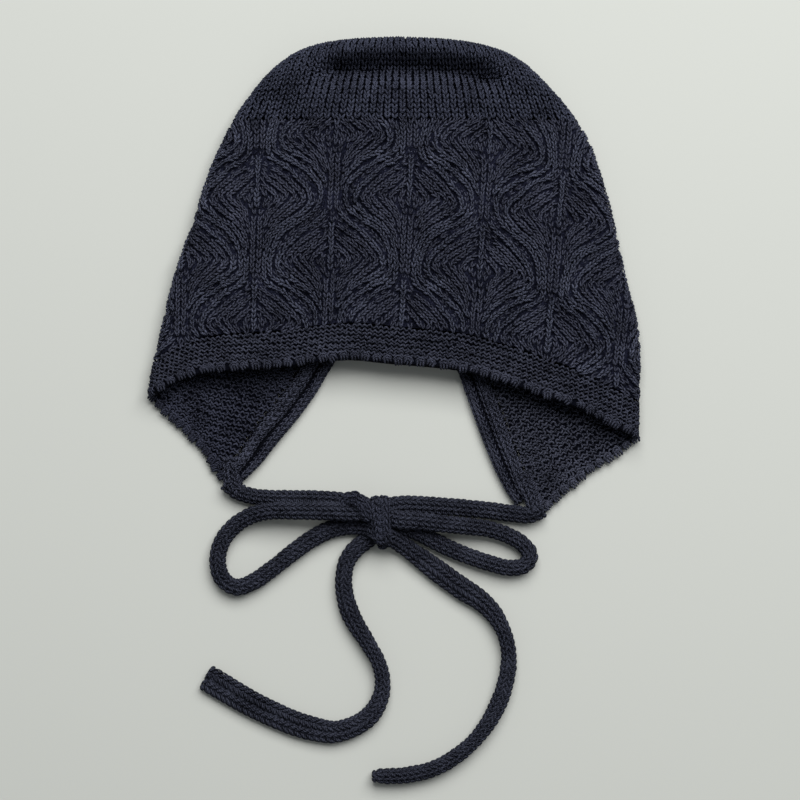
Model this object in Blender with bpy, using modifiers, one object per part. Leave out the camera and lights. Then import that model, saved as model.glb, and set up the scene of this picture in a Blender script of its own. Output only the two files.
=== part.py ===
"""A baby's knitted hat with ear flaps and cord ties, lying flat with its forehead side up.

Metres, +Z up. +X runs across the hat, +Y towards the crown, and the hat rests on z = 0 with its
origin under the middle of its box. The tables hold shares: across is a share of HAT_WIDTH from the
middle line, and down is a share of HAT_LENGTH from the crown's top.
"""

import math

import bmesh
import bpy
import numpy as np

# Overall sizes
HAT_WIDTH = 0.2054  # across the lower corners of the brim
HAT_LENGTH = 0.1991  # from the crown's top to the longer flap's tip
WALL = 0.0025  # one layer of the knit between its raised ropes
FLAP_WALL = 0.0026
SEAM_GAP = 0.0010  # between neighbouring pieces
FOLD_LIFT = 0.0006  # half the gap where the brim band and a flap meet along the fold

# How high the folded hat stands
SIDE_FOLD_RADIUS = 0.0046
TOP_FOLD_RADIUS = 0.0085
BODY_HEIGHT = 0.0155
BRIM_HEIGHT = 0.0125
RISE_REACH = 0.045  # from the fold to where the front layer is at its full height
SINK_START = 0.35  # shares of HAT_LENGTH down, between which the front sinks to the brim's height
SINK_END = 0.70
VALLEY_DEPTH = 0.0075
VALLEY_DISTANCE = 0.0112  # from the top fold to the dent behind its ridge
VALLEY_HALF_WIDTH = 0.0042
VALLEY_LEFT = -0.0390
VALLEY_RIGHT = 0.0515
VALLEY_FADE = 0.0160
VALLEY_REACH = 0.0330  # from the crown's top to where the dent ends

# Bands
BRIM_DEPTH = 0.0145
LIP_DEPTH = 0.0048  # the rolled lower edge of the brim
LIP_RISE = 0.0011
NECK_BAND_WIDTH = 0.0105
NECK_TIP_WIDTH = 0.0080
NECK_TIP_REACH = 0.0200
NECK_ROLL_HEIGHT = 0.0042

# Raised pattern: ropes that zigzag between upright axes
REPEAT_ACROSS = 0.0622
REPEAT_DOWN = 0.0533
AXIS_OFFSET = 0.0045  # of one axis from the middle line, at the middle height
AXIS_LEAN = 0.06
FIRST_NODE_DOWN = 0.0508
SHORT_ROPE_DROP = 0.0189
LONG_ROPE_DROP = 0.0344
ROPE_HALF_WIDTH = 0.0034
ROPE_RISE = 0.0012
ROPE_FADE = 0.0060

# Ties
TIE_DIAMETER = 0.0063
TIE_STEP = 0.0055
TIE_CLEARANCE = 0.0003
WRAP_CENTRE = (-0.0059, -0.1035)
WRAP_SIZE = (0.0088, 0.0210, 0.0148)
BUNDLE_CENTRE = (-0.0156, -0.0983)
BUNDLE_SIZE = (0.0122, 0.0184, 0.0118)
KNOT_ROUNDING = 0.0028
FLOOR_GAP = 0.0001

# Mesh spacing
FOLD_ANGLES = (0, 10, 34, 62, 90)
FRONT_STEP = 0.0058
BACK_STEP = 0.0062
CROWN_STEP = 0.0085
CROWN_ROWS = (0, 0.035, 0.12, 0.22, 0.30, 0.37, 0.46, 0.60, 0.80, 1)
BRIM_ROWS = (0, 0.35, 0.66, 0.84, 1)
CORNER_STEP = 0.0048  # down the fold beside the brim band
NECK_STEP = 0.0062
FLAP_STEP = 0.0100

# Where the pieces part, as shares of HAT_LENGTH down the outline
SHOULDER_DOWN = 0.083
CROWN_SEAM_DOWN = 0.173

# The folded outline, from the crown's top to each lower corner
OUTLINE_ROWS = (
    # down left, across left, down right, across right
    (0.000, 0.007, 0.000, 0.007),
    (0.005, -0.087, 0.005, 0.105),
    (0.015, -0.152, 0.015, 0.171),
    (0.029, -0.193, 0.029, 0.218),
    (0.052, -0.228, 0.052, 0.259),
    (0.083, -0.263, 0.083, 0.295),
    (0.122, -0.295, 0.122, 0.332),
    (0.173, -0.328, 0.173, 0.371),
    (0.236, -0.359, 0.236, 0.404),
    (0.321, -0.390, 0.321, 0.430),
    (0.405, -0.415, 0.405, 0.451),
    (0.494, -0.449, 0.494, 0.469),
    (0.584, -0.468, 0.563, 0.489),
    (0.662, -0.486, 0.637, 0.499),
    (0.715, -0.498, 0.722, 0.500),
    (0.755, -0.500, 0.844, 0.498),
)

# The front layer's lower edge, left to right
BRIM_EDGE = (
    # across, down
    (-0.500, 0.755),
    (-0.469, 0.737),
    (-0.426, 0.716),
    (-0.367, 0.704),
    (-0.295, 0.699),
    (-0.224, 0.694),
    (-0.156, 0.683),
    (-0.087, 0.678),
    (-0.019, 0.685),
    (0.062, 0.692),
    (0.130, 0.700),
    (0.195, 0.717),
    (0.251, 0.735),
    (0.314, 0.759),
    (0.369, 0.778),
    (0.426, 0.808),
    (0.498, 0.844),
)

# Each flap's outer edge, from the hat's lower corner to the flap's tip
LEFT_FLAP_EDGE = (
    # across, down
    (-0.500, 0.755),
    (-0.477, 0.781),
    (-0.435, 0.821),
    (-0.402, 0.854),
    (-0.379, 0.886),
    (-0.359, 0.920),
    (-0.347, 0.938),
)
RIGHT_FLAP_EDGE = (
    # across, down
    (0.498, 0.844),
    (0.473, 0.863),
    (0.435, 0.890),
    (0.396, 0.916),
    (0.359, 0.947),
    (0.330, 0.973),
    (0.309, 1.000),
)

# The edge round the neck, from the left flap's tip to the right one's
NECK_EDGE = (
    # across, down
    (-0.314, 0.935),
    (-0.277, 0.897),
    (-0.240, 0.848),
    (-0.201, 0.800),
    (-0.165, 0.749),
    (-0.132, 0.692),
    (-0.101, 0.650),
    (-0.054, 0.629),
    (0.011, 0.622),
    (0.077, 0.629),
    (0.114, 0.654),
    (0.136, 0.709),
    (0.161, 0.781),
    (0.189, 0.859),
    (0.216, 0.924),
    (0.236, 0.962),
    (0.251, 0.984),
)
NECK_LEFT_TURN = 0.365  # share of the neck edge's length where the left flap's top meets it
NECK_RIGHT_TURN = 0.585

# The neck band's section: a roll, a groove and a flat band
NECK_SECTION = (
    # share of the band's width, share of the roll's height
    (0.05, 0.00),
    (0.00, 0.42),
    (0.07, 0.84),
    (0.19, 1.00),
    (0.32, 0.86),
    (0.42, 0.50),
    (0.54, 0.78),
    (0.74, 0.84),
    (0.93, 0.76),
    (1.00, 0.40),
    (0.97, 0.00),
)

# The two cords' routes in metres, each from its flap's tip, through the knot, round the loop on the
# other side, through the knot again and along the free end
LEFT_TIE_ROUTE = (
    (-0.0706, -0.0877, 0.0033),
    (-0.0666, -0.0907, 0.0033),
    (-0.0607, -0.0928, 0.0033),
    (-0.0523, -0.0937, 0.0033),
    (-0.0422, -0.0939, 0.0033),
    (-0.0229, -0.0949, 0.0033),
    (-0.0145, -0.0962, 0.0036),
    (-0.0065, -0.1000, 0.0075),
    (0.0011, -0.1025, 0.0093),
    (0.0090, -0.1031, 0.0091),
    (0.0183, -0.1042, 0.0074),
    (0.0292, -0.1054, 0.0059),
    (0.0410, -0.1071, 0.0041),
    (0.0489, -0.1100, 0.0033),
    (0.0548, -0.1140, 0.0033),
    (0.0571, -0.1182, 0.0033),
    (0.0548, -0.1220, 0.0033),
    (0.0498, -0.1231, 0.0033),
    (0.0389, -0.1208, 0.0033),
    (0.0271, -0.1166, 0.0033),
    (0.0179, -0.1124, 0.0033),
    (0.0090, -0.1077, 0.0033),
    (0.0011, -0.1054, 0.0033),
    (-0.0057, -0.1077, 0.0033),
    (-0.0120, -0.1117, 0.0033),
    (-0.0170, -0.1159, 0.0033),
    (-0.0202, -0.1210, 0.0033),
    (-0.0214, -0.1273, 0.0033),
    (-0.0187, -0.1420, 0.0033),
    (-0.0111, -0.1550, 0.0033),
    (-0.0071, -0.1621, 0.0033),
    (-0.0050, -0.1701, 0.0033),
    (-0.0059, -0.1777, 0.0033),
    (-0.0103, -0.1852, 0.0033),
    (-0.0174, -0.1900, 0.0033),
    (-0.0258, -0.1922, 0.0033),
    (-0.0351, -0.1907, 0.0033),
    (-0.0552, -0.1829, 0.0033),
    (-0.0788, -0.1695, 0.0033),
)
RIGHT_TIE_ROUTE = (
    (0.0618, -0.0988, 0.0033),
    (0.0573, -0.1008, 0.0033),
    (0.0510, -0.1004, 0.0033),
    (0.0393, -0.0989, 0.0033),
    (0.0179, -0.0972, 0.0033),
    (0.0011, -0.0968, 0.0033),
    (-0.0044, -0.0977, 0.0045),
    (-0.0120, -0.0991, 0.0090),
    (-0.0187, -0.0993, 0.0091),
    (-0.0254, -0.0991, 0.0089),
    (-0.0431, -0.0989, 0.0079),
    (-0.0527, -0.0991, 0.0072),
    (-0.0615, -0.1016, 0.0045),
    (-0.0687, -0.1067, 0.0033),
    (-0.0733, -0.1138, 0.0033),
    (-0.0743, -0.1218, 0.0033),
    (-0.0718, -0.1283, 0.0033),
    (-0.0666, -0.1313, 0.0033),
    (-0.0603, -0.1294, 0.0033),
    (-0.0523, -0.1241, 0.0033),
    (-0.0435, -0.1172, 0.0033),
    (-0.0347, -0.1109, 0.0033),
    (-0.0267, -0.1069, 0.0033),
    (-0.0195, -0.1054, 0.0033),
    (-0.0120, -0.1058, 0.0045),
    (-0.0057, -0.1084, 0.0099),
    (0.0015, -0.1121, 0.0042),
    (0.0090, -0.1176, 0.0033),
    (0.0288, -0.1321, 0.0033),
    (0.0359, -0.1367, 0.0033),
    (0.0414, -0.1420, 0.0033),
    (0.0452, -0.1483, 0.0033),
    (0.0477, -0.1562, 0.0033),
    (0.0479, -0.1646, 0.0033),
    (0.0437, -0.1802, 0.0033),
    (0.0338, -0.1955, 0.0033),
    (0.0258, -0.2024, 0.0033),
    (0.0166, -0.2075, 0.0033),
    (0.0057, -0.2102, 0.0033),
    (-0.0086, -0.2108, 0.0033),
)

WOOL = (0.024, 0.026, 0.041)
WOOL_TIES = (0.027, 0.028, 0.046)
WOOL_ROUGHNESS = 0.92
LINE_SAMPLES = 40  # for each stretch between two given points
FOLD_TOLERANCE = 0.000002
WELD_DISTANCE = 0.00002
TANGENT_REACH = 0.001
END_SAMPLES = 12  # round a cord's end


def placed(rows):
    """Points in metres from rows of across and down."""
    table = np.array(rows, float)
    return np.column_stack([table[:, 0] * HAT_WIDTH, (0.5 - table[:, 1]) * HAT_LENGTH])


def lengths_along(line):
    """The distance along a line to each of its points."""
    steps = np.linalg.norm(np.diff(line, axis=0), axis=1)
    return np.concatenate([[0.0], np.cumsum(steps)])


def smooth_line(points):
    """A dense smooth curve through the points."""
    points = np.array(points, float)
    at = lengths_along(points)
    slope = np.gradient(points, at, axis=0)
    dense = np.linspace(0, at[-1], LINE_SAMPLES * len(points))
    k = np.clip(np.searchsorted(at, dense, side="right") - 1, 0, len(at) - 2)
    span = (at[k + 1] - at[k])[:, None]
    s = ((dense - at[k]) / span[:, 0])[:, None]
    start = (1 + 2 * s) * (1 - s) ** 2 * points[k] + s * (1 - s) ** 2 * span * slope[k]
    end = s**2 * (3 - 2 * s) * points[k + 1] + s**2 * (s - 1) * span * slope[k + 1]
    return start + end


def points_at(line, distances):
    """Points of a line at the given distances along it."""
    at = lengths_along(line)
    return np.column_stack([np.interp(distances, at, line[:, k]) for k in range(line.shape[1])])


def line_piece(line, start, end, shares):
    """Points between two distances along a line, at shares of the way."""
    return points_at(line, start + (end - start) * np.asarray(shares))


def smooth_step(value):
    value = np.clip(value, 0, 1)
    return value * value * (3 - 2 * value)


def spread(length, step, first_fold=0.0, last_fold=0.0, points=None):
    """Shares along a line: close together where an end curves over a fold, else about a step apart.
    Where points is given, there are that many shares and step is not used."""
    curl = 1 - np.cos(np.radians(FOLD_ANGLES))
    first = first_fold * curl if first_fold else np.zeros(1)
    last = length - last_fold * curl[::-1] if last_fold else np.array([length])
    count = max(1, round((last[0] - first[-1]) / step))
    if points:
        count = points - len(first) - len(last) + 1
    middle = np.linspace(first[-1], last[0], count + 1)[1:-1]
    return np.concatenate([first, middle, last]) / length


# The hat's lines
LEFT_SIDE = smooth_line(placed([(row[1], row[0]) for row in OUTLINE_ROWS]))
RIGHT_SIDE = smooth_line(placed([(row[3], row[2]) for row in OUTLINE_ROWS]))
OUTLINE = np.vstack([LEFT_SIDE[::-1], RIGHT_SIDE[1:]])
OUTLINE_LENGTH = lengths_along(OUTLINE)[-1]
BRIM_LINE = smooth_line(placed(BRIM_EDGE))
NECK_LINE = smooth_line(placed(NECK_EDGE))
NECK_LENGTH = lengths_along(NECK_LINE)[-1]


def outline_distance(side, down):
    """How far along OUTLINE its left or right side reaches this share of the hat's length."""
    y = (0.5 - down) * HAT_LENGTH
    at = lengths_along(OUTLINE)
    top = len(LEFT_SIDE) - 1
    if side == "left":
        return np.interp(y, OUTLINE[: top + 1, 1], at[: top + 1])
    return np.interp(-y, -OUTLINE[top:, 1], at[top:])


def fold_radius(y):
    """The radius of the fold at this height up the outline: wide at the top, tighter at the sides."""
    down = 0.5 - y / HAT_LENGTH
    share = smooth_step((down - SHOULDER_DOWN / 2) / SHOULDER_DOWN)
    return TOP_FOLD_RADIUS + (SIDE_FOLD_RADIUS - TOP_FOLD_RADIUS) * share


def near_fold(points):
    """The distance of each point from the folded outline, and the fold's radius there."""
    away = np.linalg.norm(points[:, None, :] - OUTLINE[None, :, :], axis=2)
    nearest = away.argmin(axis=1)
    distance = away[np.arange(len(points)), nearest]
    for start in (np.maximum(nearest - 1, 0), np.minimum(nearest, len(OUTLINE) - 2)):
        step = OUTLINE[start + 1] - OUTLINE[start]
        share = ((points - OUTLINE[start]) * step).sum(axis=1) / (step * step).sum(axis=1)
        foot = OUTLINE[start] + np.clip(share, 0, 1)[:, None] * step
        distance = np.minimum(distance, np.linalg.norm(points - foot, axis=1))
    distance[distance < FOLD_TOLERANCE] = 0.0
    return distance, fold_radius(OUTLINE[nearest, 1])


def quarter_round(distance, radius):
    """From 0 at the fold to 1 at one radius away from it, along a quarter circle."""
    short = 1 - np.clip(distance / radius, 0, 1)
    return np.sqrt(1 - short**2)


def rope_relief(points):
    """The raised ropes of the pattern."""
    across = (points[:, 0] - AXIS_OFFSET - AXIS_LEAN * points[:, 1]) / (REPEAT_ACROSS / 2)
    swing = np.abs((across + 1) % 2 - 1)
    down = 0.5 * HAT_LENGTH - points[:, 1] - FIRST_NODE_DOWN
    relief = np.zeros(len(points))
    for middle in (swing * SHORT_ROPE_DROP, -swing * LONG_ROPE_DROP):
        off = (down - middle + REPEAT_DOWN / 2) % REPEAT_DOWN - REPEAT_DOWN / 2
        relief = np.maximum(relief, np.exp(-((off / ROPE_HALF_WIDTH) ** 2)))
    below_seam = 0.5 * HAT_LENGTH - points[:, 1] - CROWN_SEAM_DOWN * HAT_LENGTH
    above_band = points[:, 1] - np.interp(points[:, 0], BRIM_LINE[:, 0], BRIM_LINE[:, 1]) - BRIM_DEPTH
    return ROPE_RISE * relief * smooth_step((np.minimum(below_seam, above_band) - SEAM_GAP) / ROPE_FADE)


def front_height(points, lift=0.0, ropes=False):
    """Height of the front layer's outer face. The fold's edge is raised by lift."""
    distance, radius = near_fold(points)
    down = 0.5 - points[:, 1] / HAT_LENGTH
    to_brim = smooth_step((down - SINK_START) / (SINK_END - SINK_START))
    middle = BODY_HEIGHT + (BRIM_HEIGHT - BODY_HEIGHT) * to_brim
    top = 2 * radius + (middle - 2 * radius) * smooth_step(distance / RISE_REACH)
    inside = smooth_step((points[:, 0] - VALLEY_LEFT) / VALLEY_FADE)
    inside = inside * smooth_step((VALLEY_RIGHT - points[:, 0]) / VALLEY_FADE)
    inside = inside * smooth_step((VALLEY_REACH - down * HAT_LENGTH) / VALLEY_FADE)
    dent = np.exp(-(((distance - VALLEY_DISTANCE) / VALLEY_HALF_WIDTH) ** 2))
    top = top - VALLEY_DEPTH * inside * dent
    rounding = quarter_round(distance, radius)
    if ropes:
        top = top + rope_relief(points) * smooth_step(distance / radius - 0.5)
    return radius + lift + (top - radius - lift) * rounding


def back_height(points, lift=0.0):
    """Height of the back layer's outer face, which lies on the surface away from the folds."""
    distance, radius = near_fold(points)
    return (radius + lift) * (1 - quarter_round(distance, radius))


def shares_along(line):
    at = lengths_along(line)
    return at / at[-1]


def patch(top, bottom, left, right):
    """Rows of points that fill four border lines. Top and bottom run left to right."""
    down = shares_along(left)[:, None]
    across = shares_along(top)[None]
    u = (1 - down) * across + down * shares_along(bottom)[None]
    v = (1 - across) * down + across * shares_along(right)[:, None]
    u = u[:, :, None]
    v = v[:, :, None]
    down_way = (1 - v) * top[None] + v * bottom[None]
    across_way = (1 - u) * left[:, None] + u * right[:, None]
    corners = (1 - v) * ((1 - u) * top[0] + u * top[-1]) + v * ((1 - u) * bottom[0] + u * bottom[-1])
    return down_way + across_way - corners


def raised(rows, height, **options):
    """Gives a patch of flat points their height."""
    flat = rows.reshape(-1, 2)
    z = height(flat, **options)
    return np.column_stack([flat, z]).reshape(rows.shape[0], rows.shape[1], 3)


def material(name, colour):
    found = bpy.data.materials.new(name)
    found.use_nodes = True
    shader = found.node_tree.nodes["Principled BSDF"]
    shader.inputs["Base Color"].default_value = (*colour, 1.0)
    shader.inputs["Roughness"].default_value = WOOL_ROUGHNESS
    shader.inputs["Metallic"].default_value = 0.0
    found.diffuse_color = (*colour, 1.0)
    return found


def add_object(name, data, collection, finish):
    made = bpy.data.objects.new(name, data)
    collection.objects.link(made)
    data.materials.append(finish)
    return made


def sheet_object(name, grids, thickness, collection, finish):
    """A sheet of the knit. Each grid is its outer face and whether that faces up."""
    mesh = bmesh.new()
    for rows, faces_up in grids:
        corners = [[mesh.verts.new(point) for point in row] for row in rows]
        for r in range(len(corners) - 1):
            for c in range(len(corners[0]) - 1):
                loop = [corners[r][c], corners[r + 1][c], corners[r + 1][c + 1], corners[r][c + 1]]
                mesh.faces.new(loop if faces_up else loop[::-1])
    bmesh.ops.remove_doubles(mesh, verts=mesh.verts, dist=WELD_DISTANCE)
    data = bpy.data.meshes.new(name)
    mesh.to_mesh(data)
    mesh.free()
    data.shade_smooth()
    made = add_object(name, data, collection, finish)
    wall = made.modifiers.new("knit wall", "SOLIDIFY")
    wall.thickness = thickness
    wall.offset = -1
    wall.use_even_offset = True
    wall.use_quality_normals = True
    return made


def loft_object(name, rings, collection, finish):
    """A closed solid through rings of points, with flat ends."""
    mesh = bmesh.new()
    loops = [[mesh.verts.new(point) for point in ring] for ring in rings]
    count = len(loops[0])
    for a, b in zip(loops, loops[1:]):
        for k in range(count):
            n = (k + 1) % count
            mesh.faces.new([a[k], a[n], b[n], b[k]])
    mesh.faces.new(loops[0][::-1])
    mesh.faces.new(loops[-1])
    bmesh.ops.recalc_face_normals(mesh, faces=mesh.faces)
    data = bpy.data.meshes.new(name)
    mesh.to_mesh(data)
    mesh.free()
    data.shade_smooth()
    data.set_sharp_from_angle(angle=math.radians(50))
    return add_object(name, data, collection, finish)


def make_crown(collection, finish):
    """The plain top: front and back in one cap, open below."""
    left = outline_distance("left", SHOULDER_DOWN)
    right = outline_distance("right", SHOULDER_DOWN)
    left_seam = outline_distance("left", CROWN_SEAM_DOWN) + SEAM_GAP / 2
    right_seam = outline_distance("right", CROWN_SEAM_DOWN) - SEAM_GAP / 2
    shares = spread(right - left, CROWN_STEP, SIDE_FOLD_RADIUS, SIDE_FOLD_RADIUS)
    top = line_piece(OUTLINE, left, right, shares)
    left_side = line_piece(OUTLINE, left, left_seam, CROWN_ROWS)
    right_side = line_piece(OUTLINE, right, right_seam, CROWN_ROWS)
    seam = np.array([left_side[-1], right_side[-1]])
    seam_length = lengths_along(seam)[-1]
    seam_shares = spread(seam_length, CROWN_STEP, SIDE_FOLD_RADIUS, SIDE_FOLD_RADIUS, len(shares))
    bottom = line_piece(seam, 0, seam_length, seam_shares)
    rows = patch(top, bottom, left_side, right_side)
    grids = [(raised(rows, front_height), True), (raised(rows, back_height), False)]
    return sheet_object("crown", grids, WALL, collection, finish)


def corner_fold(side, extra=0.0):
    """How far along OUTLINE the brim band's upper edge meets the fold."""
    if side == "left":
        return BRIM_DEPTH + extra
    return OUTLINE_LENGTH - BRIM_DEPTH - extra


def band_top_line(extra=0.0):
    """The brim band's upper edge, moved up by extra."""
    left = points_at(OUTLINE, [corner_fold("left", extra)])[0] - BRIM_LINE[0]
    right = points_at(OUTLINE, [corner_fold("right", extra)])[0] - BRIM_LINE[-1]
    share = (lengths_along(BRIM_LINE) / lengths_along(BRIM_LINE)[-1])[:, None]
    return BRIM_LINE + (1 - share) * left + share * right


def neck_width(distances):
    """The neck band's width, which narrows at the flaps' tips."""
    from_end = np.minimum(distances, NECK_LENGTH - distances)
    return NECK_TIP_WIDTH + (NECK_BAND_WIDTH - NECK_TIP_WIDTH) * smooth_step(from_end / NECK_TIP_REACH)


def beside_neck(distances, extra=0.0, share=1.0):
    """Points beside the neck edge, across the band's width and a little further by extra."""
    distances = np.asarray(distances, float)
    ahead = points_at(NECK_LINE, np.minimum(distances + TANGENT_REACH, NECK_LENGTH))
    behind = points_at(NECK_LINE, np.maximum(distances - TANGENT_REACH, 0))
    along = (ahead - behind) / np.linalg.norm(ahead - behind, axis=1)[:, None]
    outward = np.column_stack([-along[:, 1], along[:, 0]])
    return points_at(NECK_LINE, distances) + outward * (neck_width(distances) * share + extra)[:, None]


def back_line(extra=0.0):
    """The back layer's lower edge above the flaps and the neck band: left, middle and right parts."""
    middle_length = NECK_LENGTH * (NECK_RIGHT_TURN - NECK_LEFT_TURN)
    middle = NECK_LENGTH * NECK_LEFT_TURN + middle_length * spread(middle_length, BACK_STEP)
    arc = beside_neck(middle, SEAM_GAP)
    left_start = points_at(OUTLINE, [corner_fold("left")])[0]
    right_end = points_at(OUTLINE, [corner_fold("right")])[0]
    left = np.array([left_start, arc[0]])
    right = np.array([arc[-1], right_end])
    left_length = lengths_along(left)[-1]
    right_length = lengths_along(right)[-1]
    left = line_piece(left, 0, left_length, spread(left_length, FLAP_STEP, SIDE_FOLD_RADIUS))
    right = line_piece(right, 0, right_length, spread(right_length, FLAP_STEP, 0, SIDE_FOLD_RADIUS))
    up = np.array([0, extra])
    return left + up, arc + up, right + up


def make_body(collection, finish):
    """The patterned body: a flattened ring, open above and below."""
    left_seam = outline_distance("left", CROWN_SEAM_DOWN) - SEAM_GAP / 2
    right_seam = outline_distance("right", CROWN_SEAM_DOWN) + SEAM_GAP / 2
    left_end = corner_fold("left", SEAM_GAP)
    right_end = corner_fold("right", SEAM_GAP)
    rows = spread(left_seam - left_end, FRONT_STEP)
    left_side = line_piece(OUTLINE, left_seam, left_end, rows)
    right_side = line_piece(OUTLINE, right_seam, right_end, rows)
    seam = np.array([left_side[0], right_side[0]])
    seam_length = lengths_along(seam)[-1]
    shares = spread(seam_length, FRONT_STEP, SIDE_FOLD_RADIUS, SIDE_FOLD_RADIUS)
    band = band_top_line(SEAM_GAP)
    band_length = lengths_along(band)[-1]
    band_shares = spread(band_length, FRONT_STEP, SIDE_FOLD_RADIUS, SIDE_FOLD_RADIUS, len(shares))
    front = patch(
        line_piece(seam, 0, seam_length, shares),
        line_piece(band, 0, band_length, band_shares),
        left_side,
        right_side,
    )
    left, arc, right = back_line(SEAM_GAP)
    bottom = np.vstack([left[:-1], arc, right[1:]])
    bottom[0] = left_side[-1]
    bottom[-1] = right_side[-1]
    back_shares = spread(seam_length, BACK_STEP, SIDE_FOLD_RADIUS, SIDE_FOLD_RADIUS, len(bottom))
    back = patch(line_piece(seam, 0, seam_length, back_shares), bottom, left_side, right_side)
    grids = [(raised(front, front_height, ropes=True), True), (raised(back, back_height), False)]
    return sheet_object("patterned_body", grids, WALL, collection, finish)


def make_brim(collection, finish):
    """The front band, with its rolled lower edge."""
    upper = band_top_line()
    length = lengths_along(upper)[-1]
    shares = spread(length, FRONT_STEP, SIDE_FOLD_RADIUS, SIDE_FOLD_RADIUS)
    top = line_piece(upper, 0, length, shares)
    length = lengths_along(BRIM_LINE)[-1]
    shares = spread(length, FRONT_STEP, SIDE_FOLD_RADIUS, SIDE_FOLD_RADIUS, len(shares))
    bottom = line_piece(BRIM_LINE, 0, length, shares)
    steps = np.array(BRIM_ROWS)[:, None, None]
    rows = (1 - steps) * top[None] + steps * bottom[None]
    grid = raised(rows, front_height, lift=FOLD_LIFT)
    from_edge = (1 - np.array(BRIM_ROWS)) * BRIM_DEPTH
    grid[:, :, 2] += (LIP_RISE * smooth_step(1 - from_edge / LIP_DEPTH))[:, None]
    return sheet_object("brim_band", [(grid, True)], WALL, collection, finish)


def make_flap(side, collection, finish):
    """One ear flap: part of the back layer, from the fold to its tip."""
    left, arc, right = back_line()
    turn = NECK_LEFT_TURN if side == "left" else NECK_RIGHT_TURN
    top = left if side == "left" else right[::-1]
    edge = smooth_line(placed(LEFT_FLAP_EDGE if side == "left" else RIGHT_FLAP_EDGE))
    corner = 0.0 if side == "left" else OUTLINE_LENGTH
    edge_length = lengths_along(edge)[-1]
    fold = line_piece(OUTLINE, corner_fold(side), corner, spread(BRIM_DEPTH, CORNER_STEP))
    outer = np.vstack([fold, line_piece(edge, 0, edge_length, spread(edge_length, FLAP_STEP))[1:]])
    end = 0.0 if side == "left" else NECK_LENGTH
    along_neck = NECK_LENGTH * turn + (end - NECK_LENGTH * turn) * shares_along(outer)
    inner = beside_neck(along_neck, SEAM_GAP)
    tip = np.array([outer[-1], inner[-1]])
    tip_edge = line_piece(tip, 0, lengths_along(tip)[-1], shares_along(top))
    rows = patch(top, tip_edge, outer, inner)
    grid = raised(rows, back_height, lift=-FOLD_LIFT)
    return sheet_object(f"ear_flap_{side}", [(grid, side == "right")], FLAP_WALL, collection, finish)


def make_neck_band(collection, finish):
    """The double rolled edge round the neck, tip to tip."""
    rings = []
    section = np.array(NECK_SECTION)
    for distance in NECK_LENGTH * spread(NECK_LENGTH, NECK_STEP):
        ring = []
        for share, height in section:
            x, y = beside_neck([distance], share=share)[0]
            ring.append((x, y, height * NECK_ROLL_HEIGHT))
        rings.append(ring)
    return loft_object("neck_band", rings, collection, finish)


def rounded_box(name, centre, size, collection, finish):
    """A box that stands just above the surface, with rounded edges."""
    mesh = bmesh.new()
    bmesh.ops.create_cube(mesh, size=1.0)
    for corner in mesh.verts:
        corner.co = (
            centre[0] + corner.co.x * size[0],
            centre[1] + corner.co.y * size[1],
            FLOOR_GAP + (corner.co.z + 0.5) * size[2],
        )
    data = bpy.data.meshes.new(name)
    mesh.to_mesh(data)
    mesh.free()
    data.shade_smooth()
    made = add_object(name, data, collection, finish)
    rounding = made.modifiers.new("rounding", "BEVEL")
    rounding.width = KNOT_ROUNDING
    rounding.segments = 3
    return made


def make_knot(collection, cutters, finish):
    """The wrap round the crossing cords, joined to the bundle and turn at its left."""
    wrap = rounded_box("bow_knot", WRAP_CENTRE, WRAP_SIZE, collection, finish)
    bundle = rounded_box("knot_bundle_guide", BUNDLE_CENTRE, BUNDLE_SIZE, cutters, finish)
    bundle.hide_render = True
    bundle.display_type = "WIRE"
    join = wrap.modifiers.new("bundle", "BOOLEAN")
    join.operation = "UNION"
    join.object = bundle
    return wrap


def clear_of_box(point, along, centre, size):
    """Whether a cord's flat round end at this point stands clear of a rounded box on the surface."""
    side = np.cross(along, (0, 0, 1))
    side /= np.linalg.norm(side)
    lift = np.cross(side, along)
    turn = np.linspace(0, 2 * math.pi, END_SAMPLES, endpoint=False)[:, None]
    rim = point + TIE_DIAMETER / 2 * (np.cos(turn) * side + np.sin(turn) * lift)
    middle = np.array([centre[0], centre[1], FLOOR_GAP + size[2] / 2])
    beyond = np.abs(np.vstack([rim, point]) - middle) - np.array(size) / 2 + KNOT_ROUNDING
    away = np.linalg.norm(np.maximum(beyond, 0), axis=1) + np.minimum(beyond.max(axis=1), 0)
    return bool((away - KNOT_ROUNDING > TIE_CLEARANCE).all())


def runs_outside_knot(route):
    """The stretches of a cord's route that lie outside the knot, in order."""
    line = smooth_line(route)
    along = np.gradient(line, axis=0)
    along /= np.linalg.norm(along, axis=1)[:, None]
    runs = [[]]
    for point, way in zip(line, along):
        outside = clear_of_box(point, way, WRAP_CENTRE, WRAP_SIZE)
        outside = outside and clear_of_box(point, way, BUNDLE_CENTRE, BUNDLE_SIZE)
        if outside:
            runs[-1].append(point)
        elif runs[-1]:
            runs.append([])
    return [np.array(run) for run in runs if len(run) > 2]


def make_tube(name, run, collection, finish):
    """A stretch of knitted cord as a plain tube."""
    run[:, 2] = np.maximum(run[:, 2], TIE_DIAMETER / 2 + FLOOR_GAP)
    length = lengths_along(run)[-1]
    points = points_at(run, length * spread(length, TIE_STEP))
    data = bpy.data.curves.new(name, "CURVE")
    data.dimensions = "3D"
    data.bevel_depth = TIE_DIAMETER / 2
    data.bevel_resolution = 2
    data.use_fill_caps = True
    spline = data.splines.new("POLY")
    spline.points.add(len(points) - 1)
    for corner, (x, y, z) in zip(spline.points, points):
        corner.co = (x, y, z, 1)
    spline.use_smooth = True
    return add_object(name, data, collection, finish)


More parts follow.
